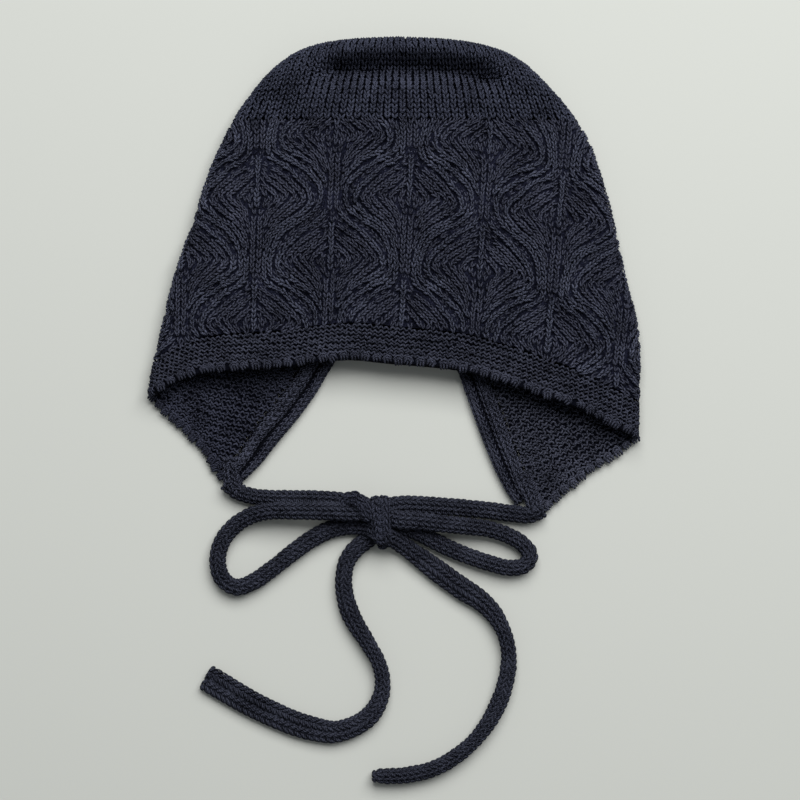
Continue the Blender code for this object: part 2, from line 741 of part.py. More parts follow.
def make_ties(collection, finish):
    """Both cords, each as its lead, its loop and its free end."""
    routes = (
        (LEFT_TIE_ROUTE, ("tie_lead_left", "bow_loop_right", "tie_tail_left")),
        (RIGHT_TIE_ROUTE, ("tie_lead_right", "bow_loop_left", "tie_tail_right")),
    )
    made = []
    for route, names in routes:
        for name, run in zip(names, runs_outside_knot(route)):
            made.append(make_tube(name, run, collection, finish))
    return made


def main():
    for old in list(bpy.data.objects):
        bpy.data.objects.remove(old, do_unlink=True)
    hat = bpy.data.collections.new("knitted_hat")
    cutters = bpy.data.collections.new("knitted_hat_cutters")
    bpy.context.scene.collection.children.link(hat)
    bpy.context.scene.collection.children.link(cutters)
    origin = bpy.data.objects.new("hat_origin", None)
    hat.objects.link(origin)

    pieces = [
        make_crown(hat, material("crown_wool", WOOL)),
        make_body(hat, material("pattern_wool", WOOL)),
        make_brim(hat, material("brim_wool", WOOL)),
        make_flap("left", hat, material("left_flap_wool", WOOL)),
        make_flap("right", hat, material("right_flap_wool", WOOL)),
        make_neck_band(hat, material("neck_band_wool", WOOL)),
        make_knot(hat, cutters, material("knot_wool", WOOL_TIES)),
    ]
    pieces += make_ties(hat, material("tie_wool", WOOL_TIES))
    for piece in pieces:
        piece.parent = origin


main()
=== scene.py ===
"""The looks of a baby's knitted hat with ear flaps and cord ties, lying flat with its forehead side up.

Metres, +Z up, in the CAD's frame: +X runs across the hat and +Y towards the crown. Each leg of a
stitch is a short strand of yarn, laid on the same folded shape as the CAD solids, and each region's
strands are joined in one mesh. Places in the cloth are given as if the hat were unrolled: those
beyond its folded outline lie round the fold.
"""

import math

import bmesh
import bpy
import numpy as np
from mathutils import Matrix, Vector


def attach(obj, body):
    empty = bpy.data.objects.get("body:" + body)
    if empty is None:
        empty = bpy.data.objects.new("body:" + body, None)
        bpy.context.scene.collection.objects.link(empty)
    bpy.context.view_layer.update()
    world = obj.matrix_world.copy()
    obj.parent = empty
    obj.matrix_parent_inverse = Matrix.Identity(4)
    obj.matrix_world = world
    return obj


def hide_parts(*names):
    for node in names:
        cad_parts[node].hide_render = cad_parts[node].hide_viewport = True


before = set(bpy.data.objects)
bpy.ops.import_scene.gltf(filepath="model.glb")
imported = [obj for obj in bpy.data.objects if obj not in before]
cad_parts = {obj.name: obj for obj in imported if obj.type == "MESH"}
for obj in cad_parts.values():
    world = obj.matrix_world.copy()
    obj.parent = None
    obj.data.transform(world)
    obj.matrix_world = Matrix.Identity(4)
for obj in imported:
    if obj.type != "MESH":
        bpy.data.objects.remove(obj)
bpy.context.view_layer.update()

MM = 0.001

# Overall sizes, as in the CAD model
HAT_WIDTH = 0.2054
HAT_LENGTH = 0.1991
SIDE_FOLD_RADIUS = 0.0046
TOP_FOLD_RADIUS = 0.0085
BODY_HEIGHT = 0.0155
BRIM_HEIGHT = 0.0125
RISE_REACH = 0.045
SINK_START = 0.35
SINK_END = 0.70
VALLEY_DEPTH = 0.0075
VALLEY_DISTANCE = 0.0112
VALLEY_HALF_WIDTH = 0.0042
VALLEY_LEFT = -0.0390
VALLEY_RIGHT = 0.0515
VALLEY_FADE = 0.0160
VALLEY_REACH = 0.0330
DEEPER_DISTANCE = 0.0014  # the looks' valley, beyond the CAD model's
DEEPER_HALF_WIDTH = 0.0010
DEEPER_DEPTH = 0.0050
SHOULDER_DOWN = 0.083
CROWN_SEAM_DOWN = 0.173
BRIM_DEPTH = 0.0145
LIP_DEPTH = 0.0048
LIP_RISE = 0.0011
FLAP_TOP = 0.0026  # height of a flap's upper face
NECK_BAND_WIDTH = 0.0105
NECK_TIP_WIDTH = 0.0080
NECK_TIP_REACH = 0.0200
NECK_LEFT_TURN = 0.365
NECK_RIGHT_TURN = 0.585
NECK_STEP = 0.001  # to either side of a point, for the edge's way there
TIE_DIAMETER = 0.0063

OUTLINE_ROWS = (
    # down left, across left, down right, across right, as shares of the hat's length and width
    (0.000, 0.007, 0.000, 0.007),
    (0.005, -0.087, 0.005, 0.105),
    (0.015, -0.152, 0.015, 0.171),
    (0.029, -0.193, 0.029, 0.218),
    (0.052, -0.228, 0.052, 0.259),
    (0.083, -0.263, 0.083, 0.295),
    (0.122, -0.295, 0.122, 0.332),
    (0.173, -0.328, 0.173, 0.371),
    (0.236, -0.359, 0.236, 0.404),
    (0.321, -0.390, 0.321, 0.430),
    (0.405, -0.415, 0.405, 0.451),
    (0.494, -0.449, 0.494, 0.469),
    (0.584, -0.468, 0.563, 0.489),
    (0.662, -0.486, 0.637, 0.499),
    (0.715, -0.498, 0.722, 0.500),
    (0.755, -0.500, 0.844, 0.498),
)
BRIM_EDGE = (
    # across, down
    (-0.500, 0.755),
    (-0.469, 0.737),
    (-0.426, 0.716),
    (-0.367, 0.704),
    (-0.295, 0.699),
    (-0.224, 0.694),
    (-0.156, 0.683),
    (-0.087, 0.678),
    (-0.019, 0.685),
    (0.062, 0.692),
    (0.130, 0.700),
    (0.195, 0.717),
    (0.251, 0.735),
    (0.314, 0.759),
    (0.369, 0.778),
    (0.426, 0.808),
    (0.498, 0.844),
)
LEFT_FLAP_EDGE = (
    # across, down
    (-0.500, 0.755),
    (-0.477, 0.781),
    (-0.435, 0.821),
    (-0.402, 0.854),
    (-0.379, 0.886),
    (-0.359, 0.920),
    (-0.347, 0.938),
)
RIGHT_FLAP_EDGE = (
    # across, down
    (0.498, 0.844),
    (0.473, 0.863),
    (0.435, 0.890),
    (0.396, 0.916),
    (0.359, 0.947),
    (0.330, 0.973),
    (0.309, 1.000),
)
NECK_EDGE = (
    # across, down
    (-0.314, 0.935),
    (-0.277, 0.897),
    (-0.240, 0.848),
    (-0.201, 0.800),
    (-0.165, 0.749),
    (-0.132, 0.692),
    (-0.101, 0.650),
    (-0.054, 0.629),
    (0.011, 0.622),
    (0.077, 0.629),
    (0.114, 0.654),
    (0.136, 0.709),
    (0.161, 0.781),
    (0.189, 0.859),
    (0.216, 0.924),
    (0.236, 0.962),
    (0.251, 0.984),
)

# The two cords' routes in metres, from the flap's tip through the knot, round a loop and to the free end
LEFT_TIE_ROUTE = (
    (-0.0706, -0.0877, 0.0033),
    (-0.0666, -0.0907, 0.0033),
    (-0.0607, -0.0928, 0.0033),
    (-0.0523, -0.0937, 0.0033),
    (-0.0422, -0.0939, 0.0033),
    (-0.0229, -0.0949, 0.0033),
    (-0.0145, -0.0962, 0.0036),
    (-0.0065, -0.1000, 0.0075),
    (0.0011, -0.1025, 0.0093),
    (0.0090, -0.1031, 0.0091),
    (0.0183, -0.1042, 0.0074),
    (0.0292, -0.1054, 0.0059),
    (0.0410, -0.1071, 0.0041),
    (0.0489, -0.1100, 0.0033),
    (0.0548, -0.1140, 0.0033),
    (0.0571, -0.1182, 0.0033),
    (0.0548, -0.1220, 0.0033),
    (0.0498, -0.1231, 0.0033),
    (0.0389, -0.1208, 0.0033),
    (0.0271, -0.1166, 0.0033),
    (0.0179, -0.1124, 0.0033),
    (0.0090, -0.1077, 0.0033),
    (0.0011, -0.1054, 0.0033),
    (-0.0057, -0.1077, 0.0033),
    (-0.0120, -0.1117, 0.0033),
    (-0.0170, -0.1159, 0.0033),
    (-0.0202, -0.1210, 0.0033),
    (-0.0214, -0.1273, 0.0033),
    (-0.0187, -0.1420, 0.0033),
    (-0.0111, -0.1550, 0.0033),
    (-0.0071, -0.1621, 0.0033),
    (-0.0050, -0.1701, 0.0033),
    (-0.0059, -0.1777, 0.0033),
    (-0.0103, -0.1852, 0.0033),
    (-0.0174, -0.1900, 0.0033),
    (-0.0258, -0.1922, 0.0033),
    (-0.0351, -0.1907, 0.0033),
    (-0.0552, -0.1829, 0.0033),
    (-0.0788, -0.1695, 0.0033),
)
RIGHT_TIE_ROUTE = (
    (0.0618, -0.0988, 0.0033),
    (0.0573, -0.1008, 0.0033),
    (0.0510, -0.1004, 0.0033),
    (0.0393, -0.0989, 0.0033),
    (0.0179, -0.0972, 0.0033),
    (0.0011, -0.0968, 0.0033),
    (-0.0044, -0.0977, 0.0045),
    (-0.0120, -0.0991, 0.0090),
    (-0.0187, -0.0993, 0.0091),
    (-0.0254, -0.0991, 0.0089),
    (-0.0431, -0.0989, 0.0079),
    (-0.0527, -0.0991, 0.0072),
    (-0.0615, -0.1016, 0.0045),
    (-0.0687, -0.1067, 0.0033),
    (-0.0733, -0.1138, 0.0033),
    (-0.0743, -0.1218, 0.0033),
    (-0.0718, -0.1283, 0.0033),
    (-0.0666, -0.1313, 0.0033),
    (-0.0603, -0.1294, 0.0033),
    (-0.0523, -0.1241, 0.0033),
    (-0.0435, -0.1172, 0.0033),
    (-0.0347, -0.1109, 0.0033),
    (-0.0267, -0.1069, 0.0033),
    (-0.0195, -0.1054, 0.0033),
    (-0.0120, -0.1058, 0.0045),
    (-0.0057, -0.1084, 0.0099),
    (0.0015, -0.1121, 0.0042),
    (0.0090, -0.1176, 0.0033),
    (0.0288, -0.1321, 0.0033),
    (0.0359, -0.1367, 0.0033),
    (0.0414, -0.1420, 0.0033),
    (0.0452, -0.1483, 0.0033),
    (0.0477, -0.1562, 0.0033),
    (0.0479, -0.1646, 0.0033),
    (0.0437, -0.1802, 0.0033),
    (0.0338, -0.1955, 0.0033),
    (0.0258, -0.2024, 0.0033),
    (0.0166, -0.2075, 0.0033),
    (0.0057, -0.2102, 0.0033),
    (-0.0086, -0.2108, 0.0033),
)

# The stitch grid, in metres
COURSE = 0.00193
WALE = 0.00315

# The pattern, in millimetres across from an upright axis and down from its node. It is mirrored in
# each axis, and repeats every PATTERN_REPEAT down and every second axis across
PATTERN_REPEAT = 52.1
AXIS_SPACING = 31.5
FIRST_NODE = 47.9  # of the middle axis, above the level of the middle of the hat
INNER_WAVE = (
    (3.8, -5.9),
    (4.2, -2.5),
    (6.7, 0.4),
    (10.9, 2.5),
    (14.3, 5.5),
    (17.6, 9.2),
    (20.6, 11.8),
    (21.8, 14.7),
    (22.3, 18.5),
    (19.7, 21.4),
    (16.8, 23.9),
    (13.0, 26.0),
    (9.2, 29.0),
    (6.3, 33.2),
    (4.6, 38.6),
    (3.8, 42.8),
)
MIDDLE_WAVE = (
    (6.3, -5.0),
    (8.4, -2.1),
    (13.0, 0.0),
    (16.0, 2.1),
    (19.3, 4.2),
    (22.5, 6.7),
    (24.8, 9.2),
    (26.0, 11.8),
    (26.5, 15.1),
    (25.6, 18.9),
    (23.5, 21.8),
    (19.7, 24.8),
    (16.0, 26.9),
    (11.3, 30.2),
    (8.4, 34.4),
    (6.7, 39.5),
    (6.1, 43.7),
)
OUTER_WAVE = (
    (9.2, -7.6),
    (11.3, -4.6),
    (14.7, -2.5),
    (18.5, -0.8),
    (22.3, 2.1),
    (25.6, 5.5),
    (28.1, 9.7),
    (29.4, 13.9),
    (29.4, 18.9),
    (28.1, 22.7),
    (25.2, 25.6),
    (21.0, 28.6),
    (17.2, 31.9),
    (13.9, 35.3),
    (11.3, 38.2),
    (9.7, 41.6),
)
LEAF_LINE_1 = (
    (2.1, 1.3),
    (5.0, 3.4),
    (9.7, 6.3),
    (13.0, 8.8),
    (16.8, 12.6),
    (18.9, 15.1),
    (19.3, 17.2),
    (17.6, 18.9),
    (15.1, 21.0),
    (12.2, 23.1),
    (9.2, 25.6),
    (6.3, 29.0),
    (4.2, 33.2),
    (3.1, 37.8),
)
LEAF_LINE_2 = (
    (1.7, 3.4),
    (4.6, 5.9),
    (8.4, 8.6),
    (11.8, 11.3),
    (14.7, 13.9),
    (15.5, 15.5),
    (14.3, 17.2),
    (12.2, 19.3),
    (9.7, 21.8),
    (7.1, 24.4),
    (5.2, 27.7),
    (3.6, 31.9),
)
LEAF_LINE_3 = (
    (1.7, 5.0),
    (4.2, 8.0),
    (7.1, 10.5),
    (10.1, 13.0),
    (12.2, 15.1),
    (11.3, 16.4),
    (9.2, 18.5),
    (7.1, 21.0),
    (5.2, 23.5),
    (4.0, 26.0),
    (2.9, 29.4),
)
LEAF_LINE_4 = (
    (1.7, 9.7),
    (4.2, 11.8),
    (6.7, 14.3),
    (8.0, 16.4),
    (7.1, 18.5),
    (5.0, 21.0),
    (3.4, 23.9),
)
PITS = (
    # open places beside the nodes
    (4.0, 2.6),
    (28.0, 15.6),
    (28.6, 19.3),
    (27.5, 28.7),
    (3.2, 41.4),
)

# The pattern's place on the hat: it leans a little, spreads at its top and droops on its right side
MIDDLE_AXIS = 7.35  # millimetres across, at AXIS_LEVEL
AXIS_LEVEL = 52.5  # millimetres above the middle of the hat
PATTERN_SPREAD = 1.013
PATTERN_NARROWING = 0.00048  # for each millimetre down
LEAN = 0.061
DROOP = 0.133
AXES = range(-9, 10)
REPEATS = range(-2, 3)

# The pattern's lines: how wide their wales are and how far they stand proud, in metres
PATTERN_PITCH = 0.00195
RIB_WIDTH = 0.0034
RIB_LIFT = 0.0011
RIB_ROWS = np.arange(-1.5, 21.5, 3.0)  # down from a node, in millimetres
PAIR_WIDTH = 0.0026
PAIR_LIFT = 0.0004
PAIR_OFFSET = 1.3  # to each side of the axis, in millimetres
PAIR_ROWS = np.arange(24.0, 49.5, 3.0)  # down from a node, in millimetres
ROPE_WIDTH = 0.0033
ROPE_LIFT = 0.0010
LEAVES = (
    # line, width, lift
    (LEAF_LINE_1, 0.0030, 0.0005),
    (LEAF_LINE_3, 0.0027, 0.0004),
    (LEAF_LINE_2, 0.0024, 0.0001),
    (LEAF_LINE_4, 0.0026, 0.0002),
)

# Loose stitches between the wales: their size, and the space that each needs, also near the seam
FILL_WIDTH = 0.0024
FILL_LIFT = -0.0003
FILL_STEP = 0.0008
FILL_SCATTER = 0.3  # of a step
FILL_SPACE = 0.0018
SEAM_SPACE = 0.0016
SEAM_REACH = 0.004

# How close the pattern's stitches may lie to each other and to its open places, and where they end
LEAST_WIDTH = 0.0018
LEAST_SPACE = 0.00172
ROOM_TAKEN = 1.06  # of the room beside a stitch
ROW_REACH = 0.7  # of a stitch's pitch, within which another is beside it
SAME_WALE = 0.45  # of the least space, within which another is in the same wale
PIT_SIZE = 0.0013
BODY_EDGE_GAP = 0.0006
BODY_LOWEST = -0.062
SEAM_OVERLAP = 0.0012  # past the crown's seam
RELIEF_START = 0.001  # past the crown's seam, where the relief begins to rise
RELIEF_REACH = 0.006

# How far round the fold each face's stitches go, in radians, and how their relief fades there
FRONT_REACH = 0.80 * math.pi
BACK_REACH = 0.24 * math.pi
BACK_TURN = 0.2
BACK_TURN_SPAN = 1.4
BACK_RELIEF = 0.45
BACK_SINK = 0.00105
SIDE_TURN = 1.3
SIDE_FLATTENING = 0.6
SIDE_SINK = 0.00030
UNDER_TURN = 1.5
UNDER_SINK = 0.00075

# The crown's wales and rows, which draw in towards the top
CROWN_MIDDLE = 0.0048
CROWN_CONVERGE = 0.20
CROWN_SPAN = 0.0345
CROWN_WALES = 32  # on each side of its middle
CROWN_ROWS = 30
CROWN_FIRST_ROW = 0.4  # of a course above the seam

# Each leg of a knit stitch, from the V's foot to its tip: shares of a course along and of a wale
# across, and of the yarn's radius up and thick
FLAT_KNIT = {
    "along": np.array([0.72, 0.40, 0.02, -0.38, -0.70]),
    "across": np.array([0.04, 0.11, 0.205, 0.305, 0.37]),
    "lift": np.array([-1.9, -0.1, 0.85, 0.1, -2.0]),
    "thick": np.array([0.55, 0.96, 1.08, 0.96, 0.50]),
}
CORD_KNIT = {
    "along": np.array([0.74, 0.40, 0.0, -0.40, -0.74]),
    "across": np.array([0.02, 0.12, 0.24, 0.36, 0.44]),
    "lift": np.array([-1.0, 0.2, 0.6, 0.25, -1.0]),
    "thick": np.array([0.60, 1.0, 1.12, 1.0, 0.60]),
}
# A purl bump, a small arc across the wale, in the same shares
PURL = {
    "along": np.array([0.42, 0.06, -0.26, 0.06, 0.42]),
    "across": np.array([-0.62, -0.36, 0.0, 0.36, 0.62]),
    "lift": np.array([-1.6, 0.0, 0.6, 0.0, -1.6]),
    "thick": np.array([0.60, 0.92, 1.0, 0.92, 0.60]),
}
LEG_RADIUS = 0.150  # share of a wale
CLOTH_LEG_RADIUS = 1.09 * LEG_RADIUS
CORD_LEG_RADIUS = LEG_RADIUS * 1.08
THICKEST_LEG = 0.00085
STRAND_FLATNESS = 0.88  # a strand's height against its width
THIN_SIDES = 4  # round the strands of cords, garter knit and knobs

# How uneven hand knitting is: the spread of each measure, in metres, radians or as a share
PLACE_SPREAD = 0.00012
TURN_SPREAD = 0.10
COURSE_SPREAD = 0.06
WALE_SPREAD = 0.04
LIFT_SPREAD = 0.00010
LEG_SPREAD = 0.05
CORD_TURN_SPREAD = 0.10
CORD_LEG_SPREAD = 0.07
GARTER_LEG_SPREAD = 0.08
BRIM_PLACE_SPREAD = 0.00015
BRIM_ROW_SPREAD = 0.012
BRIM_TURN_SPREAD = 0.16
BRIM_LIFT_SPREAD = 0.00015
KNOB_SIZE_SPREAD = 0.17
KNOB_TILT_SPREAD = 0.28
KNOB_PLACE_SPREAD = 0.00035
KNOB_LIFT_SPREAD = 0.00022
FLAP_PLACE_SPREAD = 0.00018
FLAP_LIFT_SPREAD = 0.00012
FLAP_TURN_SPREAD = 0.34

# Garter knit, and the brim's rows of it as shares of the way from its upper edge to its lip
GARTER_PITCH = 0.0023
GARTER_COURSE = 0.0021
GARTER_RADIUS = 0.00048
BRIM_ROWS = (0.02, 0.13, 0.24, 0.35, 0.46, 0.57, 0.67, 0.76)
BRIM_FOLD_REACH = 0.55 * SIDE_FOLD_RADIUS
WAY_STEP = 0.0005  # to either side of a point, for a line's way there

# The knobs of a rolled edge: two arches of yarn, one inside the other, and three strands that run out
# between their feet. Reaches are shares of a knob's size, rises of its yarn's radius
ARCH_TURNS = np.radians([-14, 30, 62, 90, 118, 150, 194])
ARCHES = (
    # half width as a share of the pitch, height, rise
    (0.42, 0.58, 0.0),
    (0.19, 0.30, 0.9),
)
ARCH_SHIFT = 0.18
ARCH_RISES = np.array([-1.5, 0.0, 0.6, 0.8, 0.6, 0.0, -1.5])
ARCH_THICK = np.array([0.6, 0.95, 1.0, 1.05, 1.0, 0.95, 0.6])
FOOT_SHIFTS = (-0.26, 0.0, 0.26)
FOOT_REACH = np.array([-0.16, 0.10, 0.34, 0.52, 0.60])
FOOT_SPREAD = np.array([0.9, 1.0, 1.05, 1.0, 0.9])
FOOT_RISES = np.array([0.2, 0.9, 0.6, -0.4, -2.0])
FOOT_THICK = np.array([0.6, 0.95, 1.0, 0.95, 0.7])
BRIM_KNOB_PITCH = 0.0046
BRIM_KNOB_START = 0.2  # of a pitch
BRIM_KNOB_SHARE = 0.88
BRIM_KNOB_LIFT = -0.0002
BRIM_KNOB_RADIUS = 0.00046
BRIM_KNOB_SIZE = 0.0034
FLAP_KNOB_PITCH = {"left": 0.0040, "right": 0.0046}
FLAP_KNOB_START = 0.001
FLAP_KNOB_INWARD = 0.0007
FLAP_KNOB_LEVEL = 0.0029
FLAP_KNOB_RADIUS = 0.00052
FLAP_KNOB_SIZE = 0.0038

# The flaps' rows, which slant and wave a little
FLAP_ROW = 0.00155
FLAP_TURN = {"left": math.radians(-20), "right": math.radians(28)}
FLAP_WAVE = 0.0017
FLAP_WAVE_LENGTH = 0.0085
FLAP_WAVE_DRIFT = 0.011
FLAP_STITCH_SINK = 0.0001
FLAP_HIGHEST = 0.0042  # where the fold's rounding hides a flap's stitches

# The neck band's two rolls: share of the width from the free edge, radius and height
NECK_ROLLS = (
    (0.13, 0.00165, 0.0021),
    (0.70, 0.00215, 0.0022),
)
NECK_ROLL_WALES = 4
NECK_ROLL_SPREAD = 1.05
NECK_END_GAP = 0.0004
# Where the neck band is gathered into each tie, the left one first
GATHERS = (
    (
        (-0.0691, -0.0775, 0.0024),
        (-0.0688, -0.0836, 0.0028),
        (-0.0678, -0.0876, 0.0030),
        (-0.0655, -0.0908, 0.0031),
    ),
    (
        (0.0543, -0.0850, 0.0024),
        (0.0566, -0.0903, 0.0028),
        (0.0585, -0.0950, 0.0030),
        (0.0592, -0.0990, 0.0031),
    ),
)
GATHER_RADIUS = 0.0028
GATHER_FLOOR = 0.0024

# The knitted cords
TIE_COURSE = 0.0026
LONGEST_COURSE = TIE_COURSE * 1.2
END_COURSE = 0.42  # a cord's last row is drawn in, as a cast-off edge is
TIE_WALES = 5
TIE_WALE_RADIUS = 0.00262
CORD_WALE_OVERLAP = 1.04
CORE_SHARE = 0.9  # of the radius to the wales
CORD_FLOOR = TIE_DIAMETER / 2 + 0.0001
SETTLE_REACH = 0.002  # above its floor a flattened cord no longer sinks
FLATTENING = -0.75  # the power of its width that gives a tie's height
LEFT_TIE_WIDTHS = (
    # from the free end in metres, and the width there against the round cord's
    (0.000, 1.90),
    (0.010, 1.84),
    (0.027, 1.78),
    (0.049, 1.66),
    (0.058, 1.52),
    (0.067, 1.36),
    (0.075, 1.28),
    (0.084, 1.08),
    (0.092, 0.92),
    (0.100, 0.90),
    (0.108, 0.98),
    (0.123, 1.24),
    (0.138, 1.00),
)
RIGHT_TIE_WIDTHS = (
    # from the free end in metres, and the width there against the round cord's
    (0.000, 0.70),
    (0.004, 0.96),
    (0.014, 1.02),
    (0.036, 0.96),
    (0.047, 0.90),
    (0.065, 1.10),
    (0.081, 1.02),
    (0.089, 0.90),
    (0.098, 0.96),
    (0.105, 1.18),
    (0.113, 1.38),
    (0.121, 1.54),
    (0.135, 1.46),
    (0.150, 1.05),
)

# The knot: a wrap round the crossing cords, and a turn of cord at its left
KNOT_MIDDLE = (-0.0055, -0.1035)
# How far from its middle the cords are crowded, and how much wider they lie there
CROWDED_ACROSS = 0.055
CROWDED_DOWN = 0.045
CROWDED_SPREAD = 0.13
CROWDED_EDGE = 1.25
KNOT_WALES = 6
# Its routes in metres. Widths and heights are against the radius
WRAP_ROUTE = (
    (-0.0046, -0.1060, 0.0028),
    (-0.0046, -0.1096, 0.0034),
    (-0.0047, -0.1114, 0.0056),
    (-0.0049, -0.1110, 0.0088),
    (-0.0053, -0.1076, 0.0114),
    (-0.0057, -0.1035, 0.0123),
    (-0.0060, -0.0995, 0.0122),
    (-0.0063, -0.0960, 0.0104),
    (-0.0065, -0.0948, 0.0074),
    (-0.0065, -0.0958, 0.0044),
    (-0.0063, -0.0990, 0.0030),
)
WRAP_BOTTOM = -0.1114
WRAP_TOP = -0.0948
WRAP_RADIUS = 0.0026
WRAP_FLOOR = 0.0024
WRAP_WIDTH = 1.20
WRAP_SPREAD = 0.34
WRAP_HEIGHT = 0.72
TURN_ROUTE = (
    (-0.0165, -0.1035, 0.0045),
    (-0.0198, -0.0995, 0.0060),
    (-0.0204, -0.0962, 0.0082),
    (-0.0186, -0.0938, 0.0104),
    (-0.0158, -0.0939, 0.0118),
    (-0.0133, -0.0962, 0.0122),
    (-0.0112, -0.0998, 0.0110),
    (-0.0088, -0.1022, 0.0088),
)
TURN_RADIUS = 0.0024
TURN_WIDTH = 1.12
TURN_HEIGHT = 0.85

# The cloth below the stitches: how far each piece is sunk, and the rest of its fitting
CLOTH_SINK = {
    "crown": 0.0009,
    "patterned_body": 0.0008,
    "brim_band": 0.0008,
    "ear_flap_left": 0.0006,
    "ear_flap_right": 0.0006,
    "neck_band": 0.0006,
}
SIDEWAYS_SINK = 0.4  # of the sink, for the folded layers
SIDEWAYS_GROWTH = -0.7  # the single layers' cloth reaches out under their knobs and rolls
SINGLE_LAYERS = ("ear_flap_left", "ear_flap_right", "neck_band")
SLOPE_LIMIT = 0.05  # of a normal's height, for faces that look up or down
CEILING_LEVEL = 0.0045  # faces looking down from above this level line the hollow inside
CEILING_DROP = 0.0022
VALLEY_CLEARANCE = 0.0024
CROWN_CUTS = 3
CLOTH_LOWEST = 0.0001
YARN_LOWEST = 0.00005

# Wool. The noise and the plies are sized from the yarn, which is about 1 mm thick
PATCH_SIZE = 9 * MM  # uneven dye, over a few stitches
FIBRE_SIZE = 0.60 * MM  # real fibres are 0.02 mm, too fine to show, so these are drawn coarser
FIBRE_ROUGHNESS = 0.65  # how much the finer noise counts
NOISE_DETAIL = 2.0
PLIES = 3
PLY_TURNS = 1.5  # along a strand, for each ply
PLY_PAINTED_SHADE_AND_HIGHLIGHT = 0.16
PATCH_SHADE = 0.35
DARKEST_SHADE = 0.56
PALEST_SHADE = 0.82
PLY_RELIEF = 0.35
WOOL_RELIEF = 0.22 * MM
WOOL_ROUGHNESS = 0.95
WOOL_SPECULAR = 0.08
WOOL_SHEEN = 0.05
WOOL_SHEEN_ROUGHNESS = 0.5
WOOL_SHEEN_COLOUR = "#8f93a8"
WOOLS = {
    # the hollows between its plies, in painted shade; its loose fibres, with the plies' painted highlight
    # Cords knitted tight: the eye sees dark, close rows of V's with few pale fibres
    "plied_wool_ties": ("#04050c", "#424553"),
    # The same cord pulled tight over the others, so its fibres catch a little more light
    "plied_wool_knot": ("#04050c", "#464959"),
    # Smooth knit: even upright wales in a soft mid navy
    "plied_wool_crown": ("#04050e", "#4e5264"),
    # Raised ribs and ropes: a painted highlight of the same yarn where they stand up into the light, the
    # palest lines, which make the pattern show
    "plied_wool_ropes_painted_highlight": ("#05060e", "#5c6073"),
    # The lower wales between the ropes: painted shade, a little darker as they lie lower, so they fall back
    "plied_wool_leaves_painted_shade": ("#04050d", "#55586a"),
    # Garter knit: low ridges that read darker, as they face away from the light
    "plied_wool_brim": ("#04050d", "#4d5060"),
    # The flap in the hat's own shade
    "plied_wool_left_flap": ("#03040c", "#474a5b"),
    # The flap that lies more open to the light
    "plied_wool_right_flap": ("#04050d", "#565969"),
    # Rolled edge: close stitches with a soft highlight along the roll
    "plied_wool_neck_band": ("#04050d", "#4e5161"),
    # Inner strands of smooth and garter knit: painted shade, nearly black, for the gaps between the
    # stitches where light hardly reaches
    "plied_wool_painted_shade_between_stitches": ("#010209", "#04050f"),
    # Purl ground of the pattern: painted shade, dark where light hardly reaches between the ropes, though
    # still seen as wool
    "plied_wool_painted_shade_below_the_ropes": ("#03040c", "#1c1e2e"),
}

# Camera, floor and light
CAMERA_DISTANCE = 1.15
CAMERA_MIDDLE = (0.00231, -0.0525)
CAMERA_LEVEL = 0.005  # the height that the picture's scale is right at
SENSOR_WIDTH = 36  # millimetres
PICTURE_WIDTH = 0.336  # metres at that level: 800 pixels of 0.42 mm
FLOOR_REACH = 3.0
FLOOR_COLOUR = "#c8cac4"
FLOOR_ROUGHNESS = 0.9
LIGHT_PLACE = (0.28, 0.85, 1.25)
LIGHT_AIM = (0, -0.05, 0)
LIGHT_SIZE = (1.7, 1.1)
LIGHT_POWER = 35  # watts
STUDIO_COLOUR = "#e8edf0"
STUDIO_STRENGTH = 0.22

# How finely lines are drawn: points for each given point, or in all
LINE_SAMPLES = 14
PATTERN_LINE_SAMPLES = 4
NECK_POINTS = 60
BACK_EDGE_POINTS = 40
FRAME_STEP = 0.0003
UPWARD = np.array([0.0, 0.0, 1.0])

# How many points are compared at a time, to keep the memory small
OUTLINE_CHUNK = 20000
NEIGHBOUR_CHUNK = 1500
ROOM_CHUNK = 500

rng = np.random.default_rng(11)

# Lines and shapes of the folded hat


def placed(rows):
    """Points in metres from rows of across and down."""
    table = np.array(rows, float)
    return np.column_stack([table[:, 0] * HAT_WIDTH, (0.5 - table[:, 1]) * HAT_LENGTH])


def lengths_along(line):
    """The distance along a line to each of its points."""
    steps = np.linalg.norm(np.diff(line, axis=0), axis=1)
    return np.concatenate([[0.0], np.cumsum(steps)])


def smooth_line(points, samples=LINE_SAMPLES):
    """A dense smooth curve through the points."""
    points = np.array(points, float)
    at = lengths_along(points)
    slope = np.gradient(points, at, axis=0)
    dense = np.linspace(0, at[-1], samples * len(points))
    k = np.clip(np.searchsorted(at, dense, side="right") - 1, 0, len(at) - 2)
    span = (at[k + 1] - at[k])[:, None]
    s = ((dense - at[k]) / span[:, 0])[:, None]
    start = (1 + 2 * s) * (1 - s) ** 2 * points[k] + s * (1 - s) ** 2 * span * slope[k]
    end = s**2 * (3 - 2 * s) * points[k + 1] + s**2 * (s - 1) * span * slope[k + 1]
    return start + end


def points_at(line, distances):
    """Points of a line at the given distances along it."""
    at = lengths_along(line)
    return np.column_stack([np.interp(distances, at, line[:, k]) for k in range(line.shape[1])])


def smooth_step(value):
    """A smooth rise from 0 to 1 as the value goes from 0 to 1."""
    value = np.clip(value, 0, 1)
    return value * value * (3 - 2 * value)


def unit(vectors):
    """Vectors of length 1."""
    return vectors / np.maximum(np.linalg.norm(vectors, axis=-1, keepdims=True), 1e-12)


def square_left(ways):
    """Flat vectors turned a quarter to the left."""
    return np.column_stack([-ways[:, 1], ways[:, 0]])


